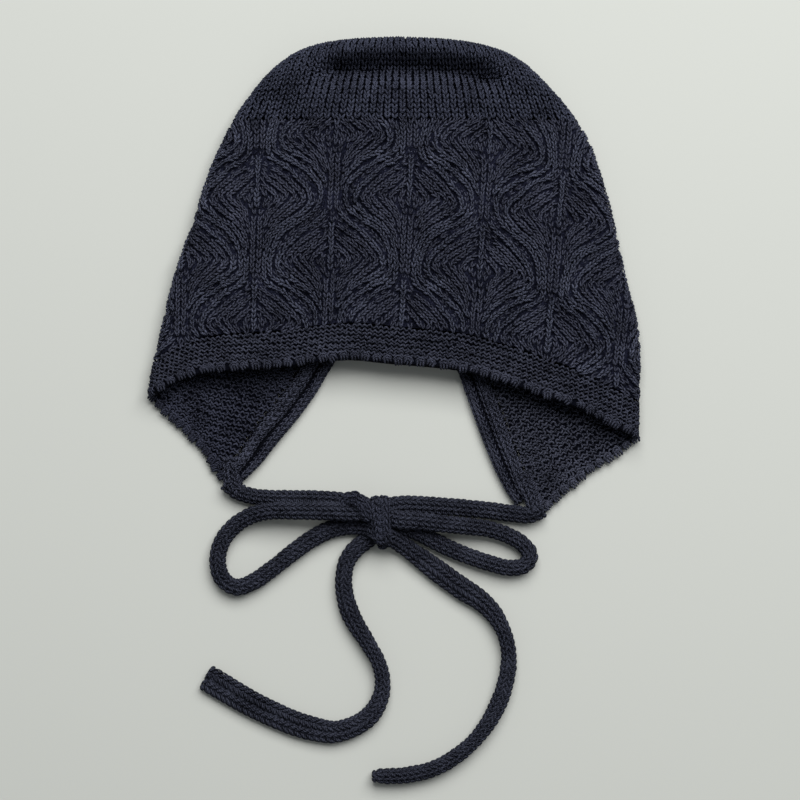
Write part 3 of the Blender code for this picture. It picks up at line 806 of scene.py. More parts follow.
LEFT_SIDE = smooth_line(placed([(row[1], row[0]) for row in OUTLINE_ROWS]))
RIGHT_SIDE = smooth_line(placed([(row[3], row[2]) for row in OUTLINE_ROWS]))
OUTLINE = np.vstack([LEFT_SIDE[::-1], RIGHT_SIDE[1:]])
OUTLINE_LENGTH = lengths_along(OUTLINE)[-1]
BRIM_LINE = smooth_line(placed(BRIM_EDGE))
BRIM_LENGTH = lengths_along(BRIM_LINE)[-1]
NECK_LINE = smooth_line(placed(NECK_EDGE))
NECK_LENGTH = lengths_along(NECK_LINE)[-1]
CROWN_SEAM = (0.5 - CROWN_SEAM_DOWN) * HAT_LENGTH


def fold_radius(y):
    """The radius of the fold at this height up the outline: wide at the top, tighter at the sides."""
    down = 0.5 - y / HAT_LENGTH
    share = smooth_step((down - SHOULDER_DOWN / 2) / SHOULDER_DOWN)
    return TOP_FOLD_RADIUS + (SIDE_FOLD_RADIUS - TOP_FOLD_RADIUS) * share


def beside_outline(points):
    """For each point: how far inside the folded outline it is, the outline's nearest point, the way
    inward from there, and the fold's radius there."""
    inside, feet, inward = [], [], []
    for start in range(0, len(points), OUTLINE_CHUNK):
        part = points[start : start + OUTLINE_CHUNK]
        right = part[:, None, 0] - OUTLINE[None, :, 0]
        up = part[:, None, 1] - OUTLINE[None, :, 1]
        nearest = (right**2 + up**2).argmin(axis=1)
        best = np.full(len(part), np.inf)
        foot = np.zeros_like(part)
        way = np.zeros_like(part)
        for first in (np.maximum(nearest - 1, 0), np.minimum(nearest, len(OUTLINE) - 2)):
            step = OUTLINE[first + 1] - OUTLINE[first]
            share = ((part - OUTLINE[first]) * step).sum(axis=1) / (step * step).sum(axis=1)
            here = OUTLINE[first] + np.clip(share, 0, 1)[:, None] * step
            gap = np.linalg.norm(part - here, axis=1)
            closer = gap < best
            best[closer] = gap[closer]
            foot[closer] = here[closer]
            way[closer] = unit(np.column_stack([step[:, 1], -step[:, 0]]))[closer]
        side = np.sign(((part - foot) * way).sum(axis=1))
        inside.append(best * np.where(side == 0, 1, side))
        feet.append(foot)
        inward.append(way)
    foot = np.vstack(feet)
    return np.concatenate(inside), foot, np.vstack(inward), fold_radius(foot[:, 1])


def front_crest(points, distance, radius):
    """Height of the front layer away from the fold's own rounding."""
    down = 0.5 - points[:, 1] / HAT_LENGTH
    to_brim = smooth_step((down - SINK_START) / (SINK_END - SINK_START))
    middle = BODY_HEIGHT + (BRIM_HEIGHT - BODY_HEIGHT) * to_brim
    top = 2 * radius + (middle - 2 * radius) * smooth_step(distance / RISE_REACH)
    return top - valley(points, distance, 1.0)


def valley(points, distance, deeper, spread=0.0):
    """The depth of the valley behind the ridge: deeper 0 is as in the CAD model, 1 as it looks."""
    down = 0.5 - points[:, 1] / HAT_LENGTH
    inside = smooth_step((points[:, 0] - VALLEY_LEFT) / VALLEY_FADE)
    inside = inside * smooth_step((VALLEY_RIGHT - points[:, 0]) / VALLEY_FADE)
    inside = inside * smooth_step((VALLEY_REACH - down * HAT_LENGTH) / VALLEY_FADE)
    away = distance - VALLEY_DISTANCE - deeper * DEEPER_DISTANCE
    half = VALLEY_HALF_WIDTH + deeper * DEEPER_HALF_WIDTH + spread
    return (VALLEY_DEPTH + deeper * DEEPER_DEPTH) * inside * np.exp(-((away / half) ** 2))


def on_hat(sheet, face):
    """Places points of the unrolled cloth on the folded hat's front or back face."""
    inside, foot, inward, radius = beside_outline(sheet)
    angle = np.clip((radius - inside) / radius, 0, math.pi)
    distance = np.where(angle > 0, radius * (1 - np.sin(angle)), inside)
    plan = np.where((angle > 0)[:, None], foot + inward * distance[:, None], sheet)
    over = np.cos(angle)
    front = front_crest(plan, distance, radius) - radius
    if face == "front":
        height = radius + np.where(over > 0, front, radius) * over
    else:
        height = radius - np.where(over > 0, radius, front) * over
    return np.column_stack([plan, height])


def frames_on_hat(sheet, face):
    """The point, the cloth's ways across and up, and the way outward, at points of the cloth."""
    here = on_hat(sheet, face)
    step = np.array([FRAME_STEP, 0])
    across = (on_hat(sheet + step, face) - on_hat(sheet - step, face)) / (2 * FRAME_STEP)
    up = (on_hat(sheet + step[::-1], face) - on_hat(sheet - step[::-1], face)) / (2 * FRAME_STEP)
    outward = unit(np.cross(across, up))
    if face == "back":
        outward = -outward
    return here, across, up, outward


def round_fold(sheet):
    """How far round the fold points of the cloth lie, in radians from the flat part."""
    inside, _, _, radius = beside_outline(sheet)
    return (radius - inside) / radius


def corner_point(side, extra=0.0):
    """Where the brim band's upper edge, moved up by extra, meets the fold."""
    distance = BRIM_DEPTH + extra if side == "left" else OUTLINE_LENGTH - BRIM_DEPTH - extra
    return points_at(OUTLINE, [distance])[0]


def band_top_line(extra=0.0):
    """The brim band's upper edge, moved up by extra."""
    left = corner_point("left", extra) - BRIM_LINE[0]
    right = corner_point("right", extra) - BRIM_LINE[-1]
    share = (lengths_along(BRIM_LINE) / BRIM_LENGTH)[:, None]
    return BRIM_LINE + (1 - share) * left + share * right


def neck_width(distances):
    """The neck band's width, which narrows at the flaps' tips."""
    from_end = np.minimum(distances, NECK_LENGTH - distances)
    return NECK_TIP_WIDTH + (NECK_BAND_WIDTH - NECK_TIP_WIDTH) * smooth_step(from_end / NECK_TIP_REACH)


def beside_neck(distances, share=1.0):
    """Points beside the neck edge, a share of the way across the band."""
    ahead = points_at(NECK_LINE, np.minimum(distances + NECK_STEP, NECK_LENGTH))
    behind = points_at(NECK_LINE, np.maximum(distances - NECK_STEP, 0))
    outward = square_left(unit(ahead - behind))
    return points_at(NECK_LINE, distances) + outward * (neck_width(distances) * share)[:, None]


def back_line():
    """The back layer's lower edge above the flaps and the neck band, left to right."""
    middle = NECK_LENGTH * np.linspace(NECK_LEFT_TURN, NECK_RIGHT_TURN, BACK_EDGE_POINTS)
    return np.vstack([corner_point("left"), beside_neck(middle), corner_point("right")])


def inside_line(points, line):
    """Which points lie inside a closed line."""
    found = np.zeros(len(points), bool)
    for (x0, y0), (x1, y1) in zip(line, np.roll(line, -1, axis=0)):
        if y0 == y1:
            continue
        crosses = (points[:, 1] > min(y0, y1)) & (points[:, 1] <= max(y0, y1))
        at = x0 + (points[:, 1] - y0) * (x1 - x0) / (y1 - y0)
        found ^= crosses & (points[:, 0] < at)
    return found


# Strands of yarn and the stitches made of them


class Yarn:
    """Strands of yarn gathered into one mesh. Each strand is a closed tapered tube."""

    def __init__(self):
        """Starts with no strands."""
        self.points = []
        self.faces = []
        self.marks = []
        self.count = 0

    def add(self, paths, outward, radii, sides):
        """Adds strands: paths is (strands, points, 3), outward (strands, 3) and radii (strands, points)."""
        strands, rings, _ = paths.shape
        along = unit(np.gradient(paths, axis=1))
        side = unit(np.cross(along, outward[:, None, :]))
        lift = np.cross(side, along)
        turn = 2 * math.pi * np.arange(sides) / sides + math.pi / 2
        ring = np.cos(turn)[:, None] * side[:, :, None, :]
        ring = ring + STRAND_FLATNESS * np.sin(turn)[:, None] * lift[:, :, None, :]
        points = paths[:, :, None, :] + radii[:, :, None, None] * ring
        number = np.arange(strands * rings * sides).reshape(strands, rings, sides) + self.count
        after = np.roll(number, -1, axis=2)
        quads = np.stack([number[:, :-1], number[:, 1:], after[:, 1:], after[:, :-1]], axis=-1)
        low = np.arange(rings - 1)[:, None] / (rings - 1) + np.zeros(sides)
        high = low + 1 / (rings - 1)
        near = np.arange(sides)[None] / sides + np.zeros((rings - 1, 1))
        far = near + 1 / sides
        mark = np.stack([low, near, high, near, high, far, low, far], axis=-1)
        mark = mark.reshape(rings - 1, sides, 4, 2)
        marks = np.broadcast_to(mark, (strands, rings - 1, sides, 4, 2))
        self.points.append(points.reshape(-1, 3))
        self.faces.append(quads.reshape(-1, 4))
        self.marks.append(marks.reshape(-1, 2))
        for cap in (number[:, 0], number[:, -1, ::-1]):
            self.faces.append(cap.reshape(-1, sides))
            self.marks.append(np.zeros((strands * sides, 2)))
        self.count += strands * rings * sides

    def add_sleeve(self, path, side, lift, radius, turn):
        """Adds the closed core of a cord: rings round its path, as wide as side and lift say."""
        ring = np.cos(turn)[:, None] * side[:, None] + np.sin(turn)[:, None] * lift[:, None]
        points = path[:, None] + radius * ring
        rings, sides = points.shape[:2]
        number = np.arange(rings * sides).reshape(rings, sides) + self.count
        after = np.roll(number, -1, axis=1)
        quads = np.stack([number[:-1], number[1:], after[1:], after[:-1]], axis=-1)
        self.points.append(points.reshape(-1, 3))
        self.faces.append(quads.reshape(-1, 4)[:, ::-1])
        self.faces.append(number[:1])
        self.faces.append(number[-1:, ::-1])
        self.marks.append(np.zeros((quads.size + 2 * sides, 2)))
        self.count += rings * sides

    def finish(self, name, finish):
        """The mesh object of all the strands, lifted off the surface where they would cut it."""
        points = np.vstack(self.points)
        points[:, 2] = np.maximum(points[:, 2], YARN_LOWEST)
        corners = np.concatenate([face.ravel() for face in self.faces])
        sizes = np.concatenate([np.full(len(face), face.shape[1]) for face in self.faces])
        starts = np.concatenate([[0], np.cumsum(sizes)[:-1]])
        data = bpy.data.meshes.new(name)
        data.vertices.add(len(points))
        data.vertices.foreach_set("co", points.ravel())
        data.loops.add(len(corners))
        data.loops.foreach_set("vertex_index", corners.astype(np.int32))
        data.polygons.add(len(starts))
        data.polygons.foreach_set("loop_start", starts.astype(np.int32))
        data.update(calc_edges=True)
        uv = data.uv_layers.new(name="yarn")
        uv.data.foreach_set("uv", np.vstack(self.marks).astype(np.float32).ravel())
        data.shade_smooth()
        made = bpy.data.objects.new(name, data)
        bpy.context.scene.collection.objects.link(made)
        data.materials.append(finish)
        return made


def knit(yarn, here, along, across, outward, radius, sides, shape):
    """Adds V stitches. along is one course, towards the foot of the V, and across one wale."""
    for way in (-1, 1):
        paths = here[:, None] + shape["along"][:, None] * along[:, None]
        paths = paths + way * shape["across"][:, None] * across[:, None]
        paths = paths + (shape["lift"][:, None] * radius[:, None, None]) * outward[:, None]
        yarn.add(paths, outward, shape["thick"][None] * radius[:, None], sides)


def purl(yarn, here, along, across, outward, radius):
    """Adds purl bumps, each a small arc of yarn across the wale."""
    paths = here[:, None] + PURL["along"][:, None] * along[:, None]
    paths = paths + PURL["across"][:, None] * across[:, None]
    paths = paths + (PURL["lift"][:, None] * radius[:, None, None]) * outward[:, None]
    yarn.add(paths, outward, PURL["thick"][None] * radius[:, None], THIN_SIDES)


def in_cloth(sheet, along, across, lift, face):
    """Turns flat stitch places and vectors into the ones on the folded hat."""
    here, right, up, outward = frames_on_hat(sheet, face)
    here = here + outward * lift[:, None]
    along = along[:, :1] * right + along[:, 1:] * up
    across = across[:, :1] * right + across[:, 1:] * up
    return here, along, across, outward


def layer_lift(sheet, relief, face):
    """How far a stitch's middle stands off the folded shape: proud on the front, less so round the
    sides, and sunk below and on the back, which lies on the surface."""
    turned = round_fold(sheet)
    if face == "back":
        share = 1 - smooth_step((turned - BACK_TURN) / BACK_TURN_SPAN)
        return relief + (BACK_RELIEF * relief - BACK_SINK - relief) * share
    side = smooth_step(turned / SIDE_TURN)
    under = smooth_step((turned - UNDER_TURN) / SIDE_TURN)
    return relief * (1 - SIDE_FLATTENING * side) - SIDE_SINK * side - UNDER_SINK * under


def lay_stitches(sheet, along, width, relief, face, sides, yarn):
    """Lays V stitches on the hat, each a little uneven, as hand knitting is."""
    count = len(sheet)
    sheet = sheet + rng.normal(0, PLACE_SPREAD, (count, 2))
    turn = rng.normal(0, TURN_SPREAD, (count, 1))
    along = along + turn * square_left(along)
    along = along * (1 + rng.normal(0, COURSE_SPREAD, (count, 1)))
    width = width * (1 + rng.normal(0, WALE_SPREAD, (count, 1)))
    lift = layer_lift(sheet, relief + rng.normal(0, LIFT_SPREAD, count), face)
    here, along, width, outward = in_cloth(sheet, along, width, lift, face)
    perpendicular = np.linalg.norm(np.cross(unit(along), width), axis=1)
    radius = CLOTH_LEG_RADIUS * perpendicular * (1 + rng.normal(0, LEG_SPREAD, count))
    knit(yarn, here, along, width, outward, np.minimum(radius, THICKEST_LEG), sides, FLAT_KNIT)


# The crown


def crown_places(face):
    """Where the crown's stitches lie in the cloth, each one's course and its wale's width. The wales
    draw in towards the top."""
    wales = (np.arange(-CROWN_WALES, CROWN_WALES) + 0.5) * WALE
    rows = CROWN_SEAM + COURSE * (CROWN_FIRST_ROW + np.arange(CROWN_ROWS))
    across, up = np.meshgrid(wales, rows)
    narrow = 1 - CROWN_CONVERGE * (up - CROWN_SEAM) / CROWN_SPAN
    sheet = np.column_stack([(CROWN_MIDDLE + across * narrow).ravel(), up.ravel()])
    lean = (across * CROWN_CONVERGE / CROWN_SPAN).ravel()
    along = np.column_stack([lean, -np.ones(len(lean))]) * COURSE
    width = np.column_stack([WALE * narrow.ravel(), np.zeros(len(lean))])
    keep = round_fold(sheet) < (FRONT_REACH if face == "front" else BACK_REACH)
    return sheet[keep], along[keep], width[keep]


def crown_stitches(face, sides):
    """The smooth knit of the crown."""
    yarn = Yarn()
    sheet, along, width = crown_places(face)
    lay_stitches(sheet, along, width, np.zeros(len(sheet)), face, sides, yarn)
    return yarn


# The patterned body


def pattern_point(across, down):
    """A point of the cloth from millimetres across the middle axis and down from its first node."""
    down = -FIRST_NODE + down + DROOP * np.maximum(across, 0)
    from_level = down + AXIS_LEVEL
    spread = PATTERN_SPREAD - PATTERN_NARROWING * from_level
    x = MIDDLE_AXIS - LEAN * from_level + across * spread
    return np.column_stack([np.ravel(x), np.ravel(-down)]) * MM


def stitch_line(line):
    """Places along a line of the cloth one stitch apart, and the line's way there."""
    length = lengths_along(line)[-1]
    distance = np.arange(PATTERN_PITCH / 2, length, PATTERN_PITCH)
    ahead = points_at(line, distance + PATTERN_PITCH / 2)
    behind = points_at(line, distance - PATTERN_PITCH / 2)
    return points_at(line, distance), unit(ahead - behind)


def pattern_lines():
    """The lines of the pattern in the cloth, strongest first: each with its stitch width and lift. What
    is round an axis is also round the next one, half a repeat lower."""
    rib = [(0.0, y) for y in RIB_ROWS]
    pair = [(PAIR_OFFSET, y) for y in PAIR_ROWS]
    kinds = [(rib, RIB_WIDTH, RIB_LIFT, False), (pair, PAIR_WIDTH, PAIR_LIFT, False)]
    for wave in (INNER_WAVE, MIDDLE_WAVE, OUTER_WAVE):
        joined = np.vstack([np.array(wave) + (0, turn * PATTERN_REPEAT) for turn in REPEATS])
        kinds.append((joined, ROPE_WIDTH, ROPE_LIFT, True))
    kinds.extend((leaf, width, lift, False) for leaf, width, lift in LEAVES)
    lines = []
    for table, width, lift, endless in kinds:
        for axis in AXES:
            if endless and axis % 2:
                continue
            drop = 0 if axis % 2 == 0 else PATTERN_REPEAT / 2
            for turn in (0,) if endless else REPEATS:
                for way in (-1, 1):
                    points = np.array(table) * (way, 1)
                    points = points + (axis * AXIS_SPACING, drop + turn * PATTERN_REPEAT)
                    line = smooth_line(points, PATTERN_LINE_SAMPLES)
                    lines.append((pattern_point(line[:, 0], line[:, 1]), width, lift))
    return lines


def pattern_pits():
    """The open places of the pattern in the cloth."""
    places = []
    for axis in AXES:
        if axis % 2:
            continue
        for turn in REPEATS:
            for way in (-1, 1):
                places.append(np.array(PITS) * (way, 1) + (axis * AXIS_SPACING, turn * PATTERN_REPEAT))
    places = np.vstack(places)
    return pattern_point(places[:, 0], places[:, 1])


def away_from(points, others):
    """The distance from each point to the nearest of the others."""
    found = np.full(len(points), np.inf)
    for start in range(0, len(others), NEIGHBOUR_CHUNK):
        gap = points[:, None] - others[None, start : start + NEIGHBOUR_CHUNK]
        found = np.minimum(found, np.sqrt((gap**2).sum(axis=2)).min(axis=1))
    return found


def room_beside(places, ways):
    """The room that each stitch has across its wale, to the nearest stitch beside it."""
    found = np.full(len(places), np.inf)
    for start in range(0, len(places), ROOM_CHUNK):
        gap = places[None] - places[start : start + ROOM_CHUNK, None]
        way = ways[start : start + ROOM_CHUNK, None]
        ahead = np.abs((gap * way).sum(axis=2))
        beside = np.abs(gap[:, :, 0] * way[:, :, 1] - gap[:, :, 1] * way[:, :, 0])
        beside[(ahead > ROW_REACH * PATTERN_PITCH) | (beside < SAME_WALE * LEAST_SPACE)] = np.inf
        found[start : start + ROOM_CHUNK] = beside.min(axis=1)
    return found


def fill_places(wanted, pits, places):
    """Places for loose stitches in the bare patches between the wales, the roomiest first."""
    low, high = places.min(axis=0), places.max(axis=0)
    x, y = np.meshgrid(np.arange(low[0], high[0], FILL_STEP), np.arange(low[1], high[1], FILL_STEP))
    scatter = rng.uniform(-FILL_SCATTER, FILL_SCATTER, (x.size, 2))
    spots = np.column_stack([x.ravel(), y.ravel()]) + scatter * FILL_STEP
    spots = spots[wanted(spots)]
    spots = spots[away_from(spots, pits) > PIT_SIZE]
    room = away_from(spots, places)
    space = np.where(spots[:, 1] > CROWN_SEAM - SEAM_REACH, SEAM_SPACE, FILL_SPACE)
    free = room > space
    spots, room, space = spots[free], room[free], space[free]
    chosen = np.zeros((0, 2))
    for k in np.argsort(-room):
        if len(chosen) == 0 or away_from(spots[k, None], chosen)[0] > space[k]:
            chosen = np.vstack([chosen, spots[k]])
    return chosen


def pattern_stitches(wanted, taken):
    """Every stitch of the pattern where wanted says: its place in the cloth, its wale's way down, its
    width and how far it stands proud. A wale ends where it would crowd a stronger one or a taken place,
    and the bare patches between wales are filled."""
    pits = pattern_pits()
    places, ways, widths, lifts = [taken], [np.tile([0.0, -1.0], (len(taken), 1))], [], []
    for line, width, lift in pattern_lines():
        here, way = stitch_line(line)
        keep = wanted(here)
        if keep.any():
            keep[keep] = away_from(here[keep], np.vstack(places)) > LEAST_SPACE
        if keep.any():
            keep[keep] = away_from(here[keep], pits) > 0.5 * PIT_SIZE
        if keep.any():
            count = int(keep.sum())
            places.append(here[keep])
            ways.append(way[keep])
            widths.append(np.full(count, width))
            lifts.append(np.full(count, lift))
    places, ways, widths, lifts = (np.concatenate(part) for part in (places, ways, widths, lifts))
    filled = fill_places(wanted, pits, places)
    near = 1 / (((filled[:, None] - places[None]) ** 2).sum(axis=2) + 1e-9) ** 2
    places = np.vstack([places, filled])
    ways = np.vstack([ways, unit(near @ ways)])
    room = room_beside(places, ways)[len(taken) :]
    widths = np.concatenate([widths, np.full(len(filled), FILL_WIDTH)])
    lifts = np.concatenate([lifts, np.full(len(filled), FILL_LIFT)])
    widths = np.clip(ROOM_TAKEN * room, LEAST_WIDTH, widths)
    return places[len(taken) :], ways[len(taken) :], widths, lifts


def body_stitches(face, sides):
    """The raised pattern: upright ribs, waving ropes, and leaves and fans of chevrons between them."""
    reach = FRONT_REACH if face == "front" else BACK_REACH
    edge = band_top_line(BODY_EDGE_GAP) if face == "front" else back_line()

    def wanted(points):
        """Which points lie in this face of the body."""
        found = (points[:, 1] < CROWN_SEAM + SEAM_OVERLAP) & (points[:, 1] > BODY_LOWEST)
        found &= points[:, 1] > np.interp(points[:, 0], edge[:, 0], edge[:, 1]) + BODY_EDGE_GAP
        if found.any():
            found[found] = round_fold(points[found]) < reach
        return found

    sheet, ways, widths, lifts = pattern_stitches(wanted, crown_places(face)[0])
    lifts = lifts * smooth_step((CROWN_SEAM + RELIEF_START - sheet[:, 1]) / RELIEF_REACH)
    along = ways * PATTERN_PITCH
    width = square_left(ways) * widths[:, None]
    # Proud stitches take the wool with the painted highlight, the lower ones the wool with the painted
    # shade
    proud = lifts > 0.5 * ROPE_LIFT
    ropes, leaves = Yarn(), Yarn()
    for chosen, yarn in ((proud, ropes), (~proud, leaves)):
        lay_stitches(sheet[chosen], along[chosen], width[chosen], lifts[chosen], face, sides, yarn)
    return ropes, leaves


# The brim band


def brim_point(distance, share):
    """A point of the brim band's cloth: a distance along it, and a share of the way to its lip."""
    upper = band_top_line()
    along = distance / BRIM_LENGTH
    top = points_at(upper, np.clip(along, 0, 1) * lengths_along(upper)[-1])
    low = points_at(BRIM_LINE, np.clip(along, 0, 1) * BRIM_LENGTH)
    point = top + share[:, None] * (low - top)
    beyond = np.where(along < 0, along, np.maximum(along - 1, 0)) * BRIM_LENGTH
    return point + np.column_stack([beyond, 0 * beyond])


def brim_way(distance, share):
    """The way along the brim at these places."""
    return unit(brim_point(distance + WAY_STEP, share) - brim_point(distance - WAY_STEP, share))


def brim_lift(share):
    """How far the band's lip rises above the rest of it."""
    return LIP_RISE * smooth_step(1 - (1 - share) * BRIM_DEPTH / LIP_DEPTH)


def brim_stitches():
    """Rows of garter knit: arcs of yarn, one row up and the next down, locked into each other."""
    yarn = Yarn()
    for row, share in enumerate(BRIM_ROWS):
        start = -BRIM_FOLD_REACH + (row % 2) * GARTER_PITCH / 2
        distance = np.arange(start, BRIM_LENGTH + BRIM_FOLD_REACH, GARTER_PITCH)
        distance = distance + rng.normal(0, BRIM_PLACE_SPREAD, len(distance))
        shares = share + rng.normal(0, BRIM_ROW_SPREAD, len(distance))
        sheet = brim_point(distance, shares)
        across = brim_way(distance, shares)
        turn = rng.normal(0, BRIM_TURN_SPREAD, (len(sheet), 1))
        across = unit(across + turn * square_left(across)) * GARTER_PITCH
        way = 1 if row % 2 == 0 else -1
        down = way * np.column_stack([across[:, 1], -across[:, 0]]) / GARTER_PITCH
        lift = rng.normal(0.0, BRIM_LIFT_SPREAD, len(sheet))
        here, along, across, outward = in_cloth(sheet, down * GARTER_COURSE, across, lift, "front")
        radius = GARTER_RADIUS * (1 + rng.normal(0, GARTER_LEG_SPREAD, len(here)))
        purl(yarn, here, along, across, outward, radius)
    return yarn


def knobs(yarn, here, along, across, outward, radius, size):
    """Adds the knobs of a rolled edge. Along points to the edge, and across is one knob's pitch."""
    uneven = 1 + rng.normal(0, KNOB_SIZE_SPREAD, len(here))
    tilt = rng.normal(0, KNOB_TILT_SPREAD, (len(here), 1))
    pitch = np.linalg.norm(across, axis=1, keepdims=True)
    beside = unit(across)
    along, across = unit(along + tilt * beside), unit(beside - tilt * along) * pitch
    radius = np.full(len(here), radius)

    def strands(reach, shift, rise, thick):
        """Adds one strand to each knob."""
        paths = here[:, None] + (reach * size)[:, None] * along[:, None] * uneven[:, None, None]
        paths = paths + shift[:, None] * across[:, None]
        paths = paths + (rise[:, None] * radius[:, None, None]) * outward[:, None]
        yarn.add(paths, outward, thick[None] * radius[:, None], THIN_SIDES)

    for wide, high, rise in ARCHES:
        reach = -high * np.sin(ARCH_TURNS) + ARCH_SHIFT
        strands(reach, wide * np.cos(ARCH_TURNS), rise + ARCH_RISES, ARCH_THICK)
    for shift in FOOT_SHIFTS:
        strands(FOOT_REACH, shift * FOOT_SPREAD, FOOT_RISES, FOOT_THICK)


def brim_edge():
    """The knobs along the brim's lip."""
    yarn = Yarn()
    distance = np.arange(BRIM_KNOB_START * BRIM_KNOB_PITCH, BRIM_LENGTH, BRIM_KNOB_PITCH)
    distance = distance + rng.normal(0, KNOB_PLACE_SPREAD, len(distance))
    shares = np.full(len(distance), BRIM_KNOB_SHARE)
    sheet = brim_point(distance, shares)
    across = brim_way(distance, shares)
    down = np.column_stack([across[:, 1], -across[:, 0]])
    lift = rng.normal(BRIM_KNOB_LIFT, KNOB_LIFT_SPREAD, len(sheet)) + brim_lift(shares)
    here, along, across, outward = in_cloth(sheet, down, across * BRIM_KNOB_PITCH, lift, "front")
    knobs(yarn, here, along, across, outward, BRIM_KNOB_RADIUS, BRIM_KNOB_SIZE)
    return yarn


# The flaps


def flap_edge(side):
    """A flap's free edge, from the fold to the tip."""
    return smooth_line(placed(LEFT_FLAP_EDGE if side == "left" else RIGHT_FLAP_EDGE))


def flap_region(side):
    """The closed line round a flap."""
    first, last = (0, NECK_LEFT_TURN) if side == "left" else (1, NECK_RIGHT_TURN)
    neck = beside_neck(NECK_LENGTH * np.linspace(first, last, NECK_POINTS))
    return np.vstack([corner_point(side), flap_edge(side), neck])


def flap_places(side):
    """Where a flap's purl bumps may lie: rows that slant and wave, and each bump's way up or down."""
    region = flap_region(side)
    low, high = region.min(axis=0), region.max(axis=0)
    middle = (low + high) / 2
    reach = np.linalg.norm(high - low) / 2
    turn = FLAP_TURN[side]
    right = np.array([math.cos(turn), math.sin(turn)])
    up = np.array([-right[1], right[0]])
    points, ways = [], []
    for row, height in enumerate(np.arange(-reach, reach, FLAP_ROW)):
        start = -reach + (row % 2) * GARTER_PITCH / 2
        shift = np.arange(start, reach, GARTER_PITCH)
        wave = FLAP_WAVE * np.sin(shift / FLAP_WAVE_LENGTH + height / FLAP_WAVE_DRIFT)
        points.append(middle + shift[:, None] * right + (height + wave)[:, None] * up)
        ways.append(np.full(len(shift), 1.0 if row % 2 == 0 else -1.0))
    points, ways = np.vstack(points), np.concatenate(ways)
    chosen = inside_line(points, region)
    return points[chosen], ways[chosen]


def flap_purl(side, yarn):
    """Adds the inside of the knit: rows of purl bumps that slant with the flap."""
    sheet, ways = flap_places(side)
    sheet = sheet + rng.normal(0, FLAP_PLACE_SPREAD, sheet.shape)
    inside, _, _, radius = beside_outline(sheet)
    short = 1 - np.clip(inside / radius, 0, 1)
    z = FLAP_TOP + radius * (1 - np.sqrt(1 - short**2))
    keep = z < FLAP_HIGHEST
    level = z - FLAP_STITCH_SINK + rng.normal(0, FLAP_LIFT_SPREAD, len(z))
    here = np.column_stack([sheet, level])[keep]
    ways = ways[keep]
    count = len(here)
    bend = FLAP_TURN[side] + rng.normal(0, FLAP_TURN_SPREAD, count)
    flat = np.zeros(count)
    across = np.column_stack([np.cos(bend), np.sin(bend), flat]) * GARTER_PITCH
    along = np.column_stack([np.sin(bend), -np.cos(bend), flat]) * GARTER_COURSE * ways[:, None]
    outward = np.tile(UPWARD, (count, 1))
    purl(yarn, here, along, across, outward, GARTER_RADIUS * (1 + rng.normal(0, GARTER_LEG_SPREAD, count)))


def flap_knobs(side, yarn):
    """Adds the knobs along a flap's free edge."""
    edge = flap_edge(side)
    pitch = FLAP_KNOB_PITCH[side]
    distance = np.arange(FLAP_KNOB_START, lengths_along(edge)[-1], pitch)
    way = unit(points_at(edge, distance + WAY_STEP) - points_at(edge, distance - WAY_STEP))
    inward = square_left(way) * (1 if side == "left" else -1)
    place = points_at(edge, distance) + inward * FLAP_KNOB_INWARD
    flat = np.zeros(len(place))
    here = np.column_stack([place, np.full(len(place), FLAP_KNOB_LEVEL)])
    along = np.column_stack([-inward, flat])
    across = np.column_stack([way, flat]) * pitch
    outward = np.tile(UPWARD, (len(here), 1))
    knobs(yarn, here, along, across, outward, FLAP_KNOB_RADIUS, FLAP_KNOB_SIZE)


def flap_stitches(side):
    """A flap's purl side and its knobbly free edge."""
    yarn = Yarn()
    flap_purl(side, yarn)
    flap_knobs(side, yarn)
    return yarn


# Knitted cords, and the neck band's rolls, which are made the same way


def even_size(path, _from_end):
    """A round cord: as wide and as high as its radius all along. Every size function takes the points
    and their distances from the cord's end, also where it has no use for them."""
    return np.ones(len(path)), np.ones(len(path))


def neck_size(path, from_end):
    """A roll of the neck band: narrower at its two ends, as the band is."""
    end = np.minimum(from_end, NECK_LENGTH - from_end)
    narrow = NECK_TIP_WIDTH / NECK_BAND_WIDTH
    wide = narrow + (1 - narrow) * smooth_step(end / NECK_TIP_REACH)
    return wide * NECK_ROLL_SPREAD, np.ones(len(path))


def near_knot(path):
    """How much wider than round the cords lie where the bow's strands crowd beside the knot."""
    across = np.abs(path[:, 0] - KNOT_MIDDLE[0]) / CROWDED_ACROSS
    down = np.abs(path[:, 1] - KNOT_MIDDLE[1]) / CROWDED_DOWN
    return 1 + CROWDED_SPREAD * smooth_step(CROWDED_EDGE - (across + down))


def tie_size(widths):
    """How wide and high a tie is along its length: flattened where it is wide."""
    table = np.array(widths)

    def size(path, from_end):
        """The width and height at points of the path."""
        wide = near_knot(path) * np.interp(from_end, table[:, 0], table[:, 1])
        return wide, np.minimum(1.0, wide**FLATTENING)

    return size


def wrap_size(path, _from_end):
    """The wrap round the cords: spread over them at the top, drawn in at the bottom."""
    up = smooth_step((path[:, 1] - WRAP_BOTTOM) / (WRAP_TOP - WRAP_BOTTOM))
    return WRAP_WIDTH + WRAP_SPREAD * up, np.full(len(path), WRAP_HEIGHT)


def turn_size(path, _from_end):
    """The turn beside the wrap, a little flattened."""
    return np.full(len(path), TURN_WIDTH), np.full(len(path), TURN_HEIGHT)


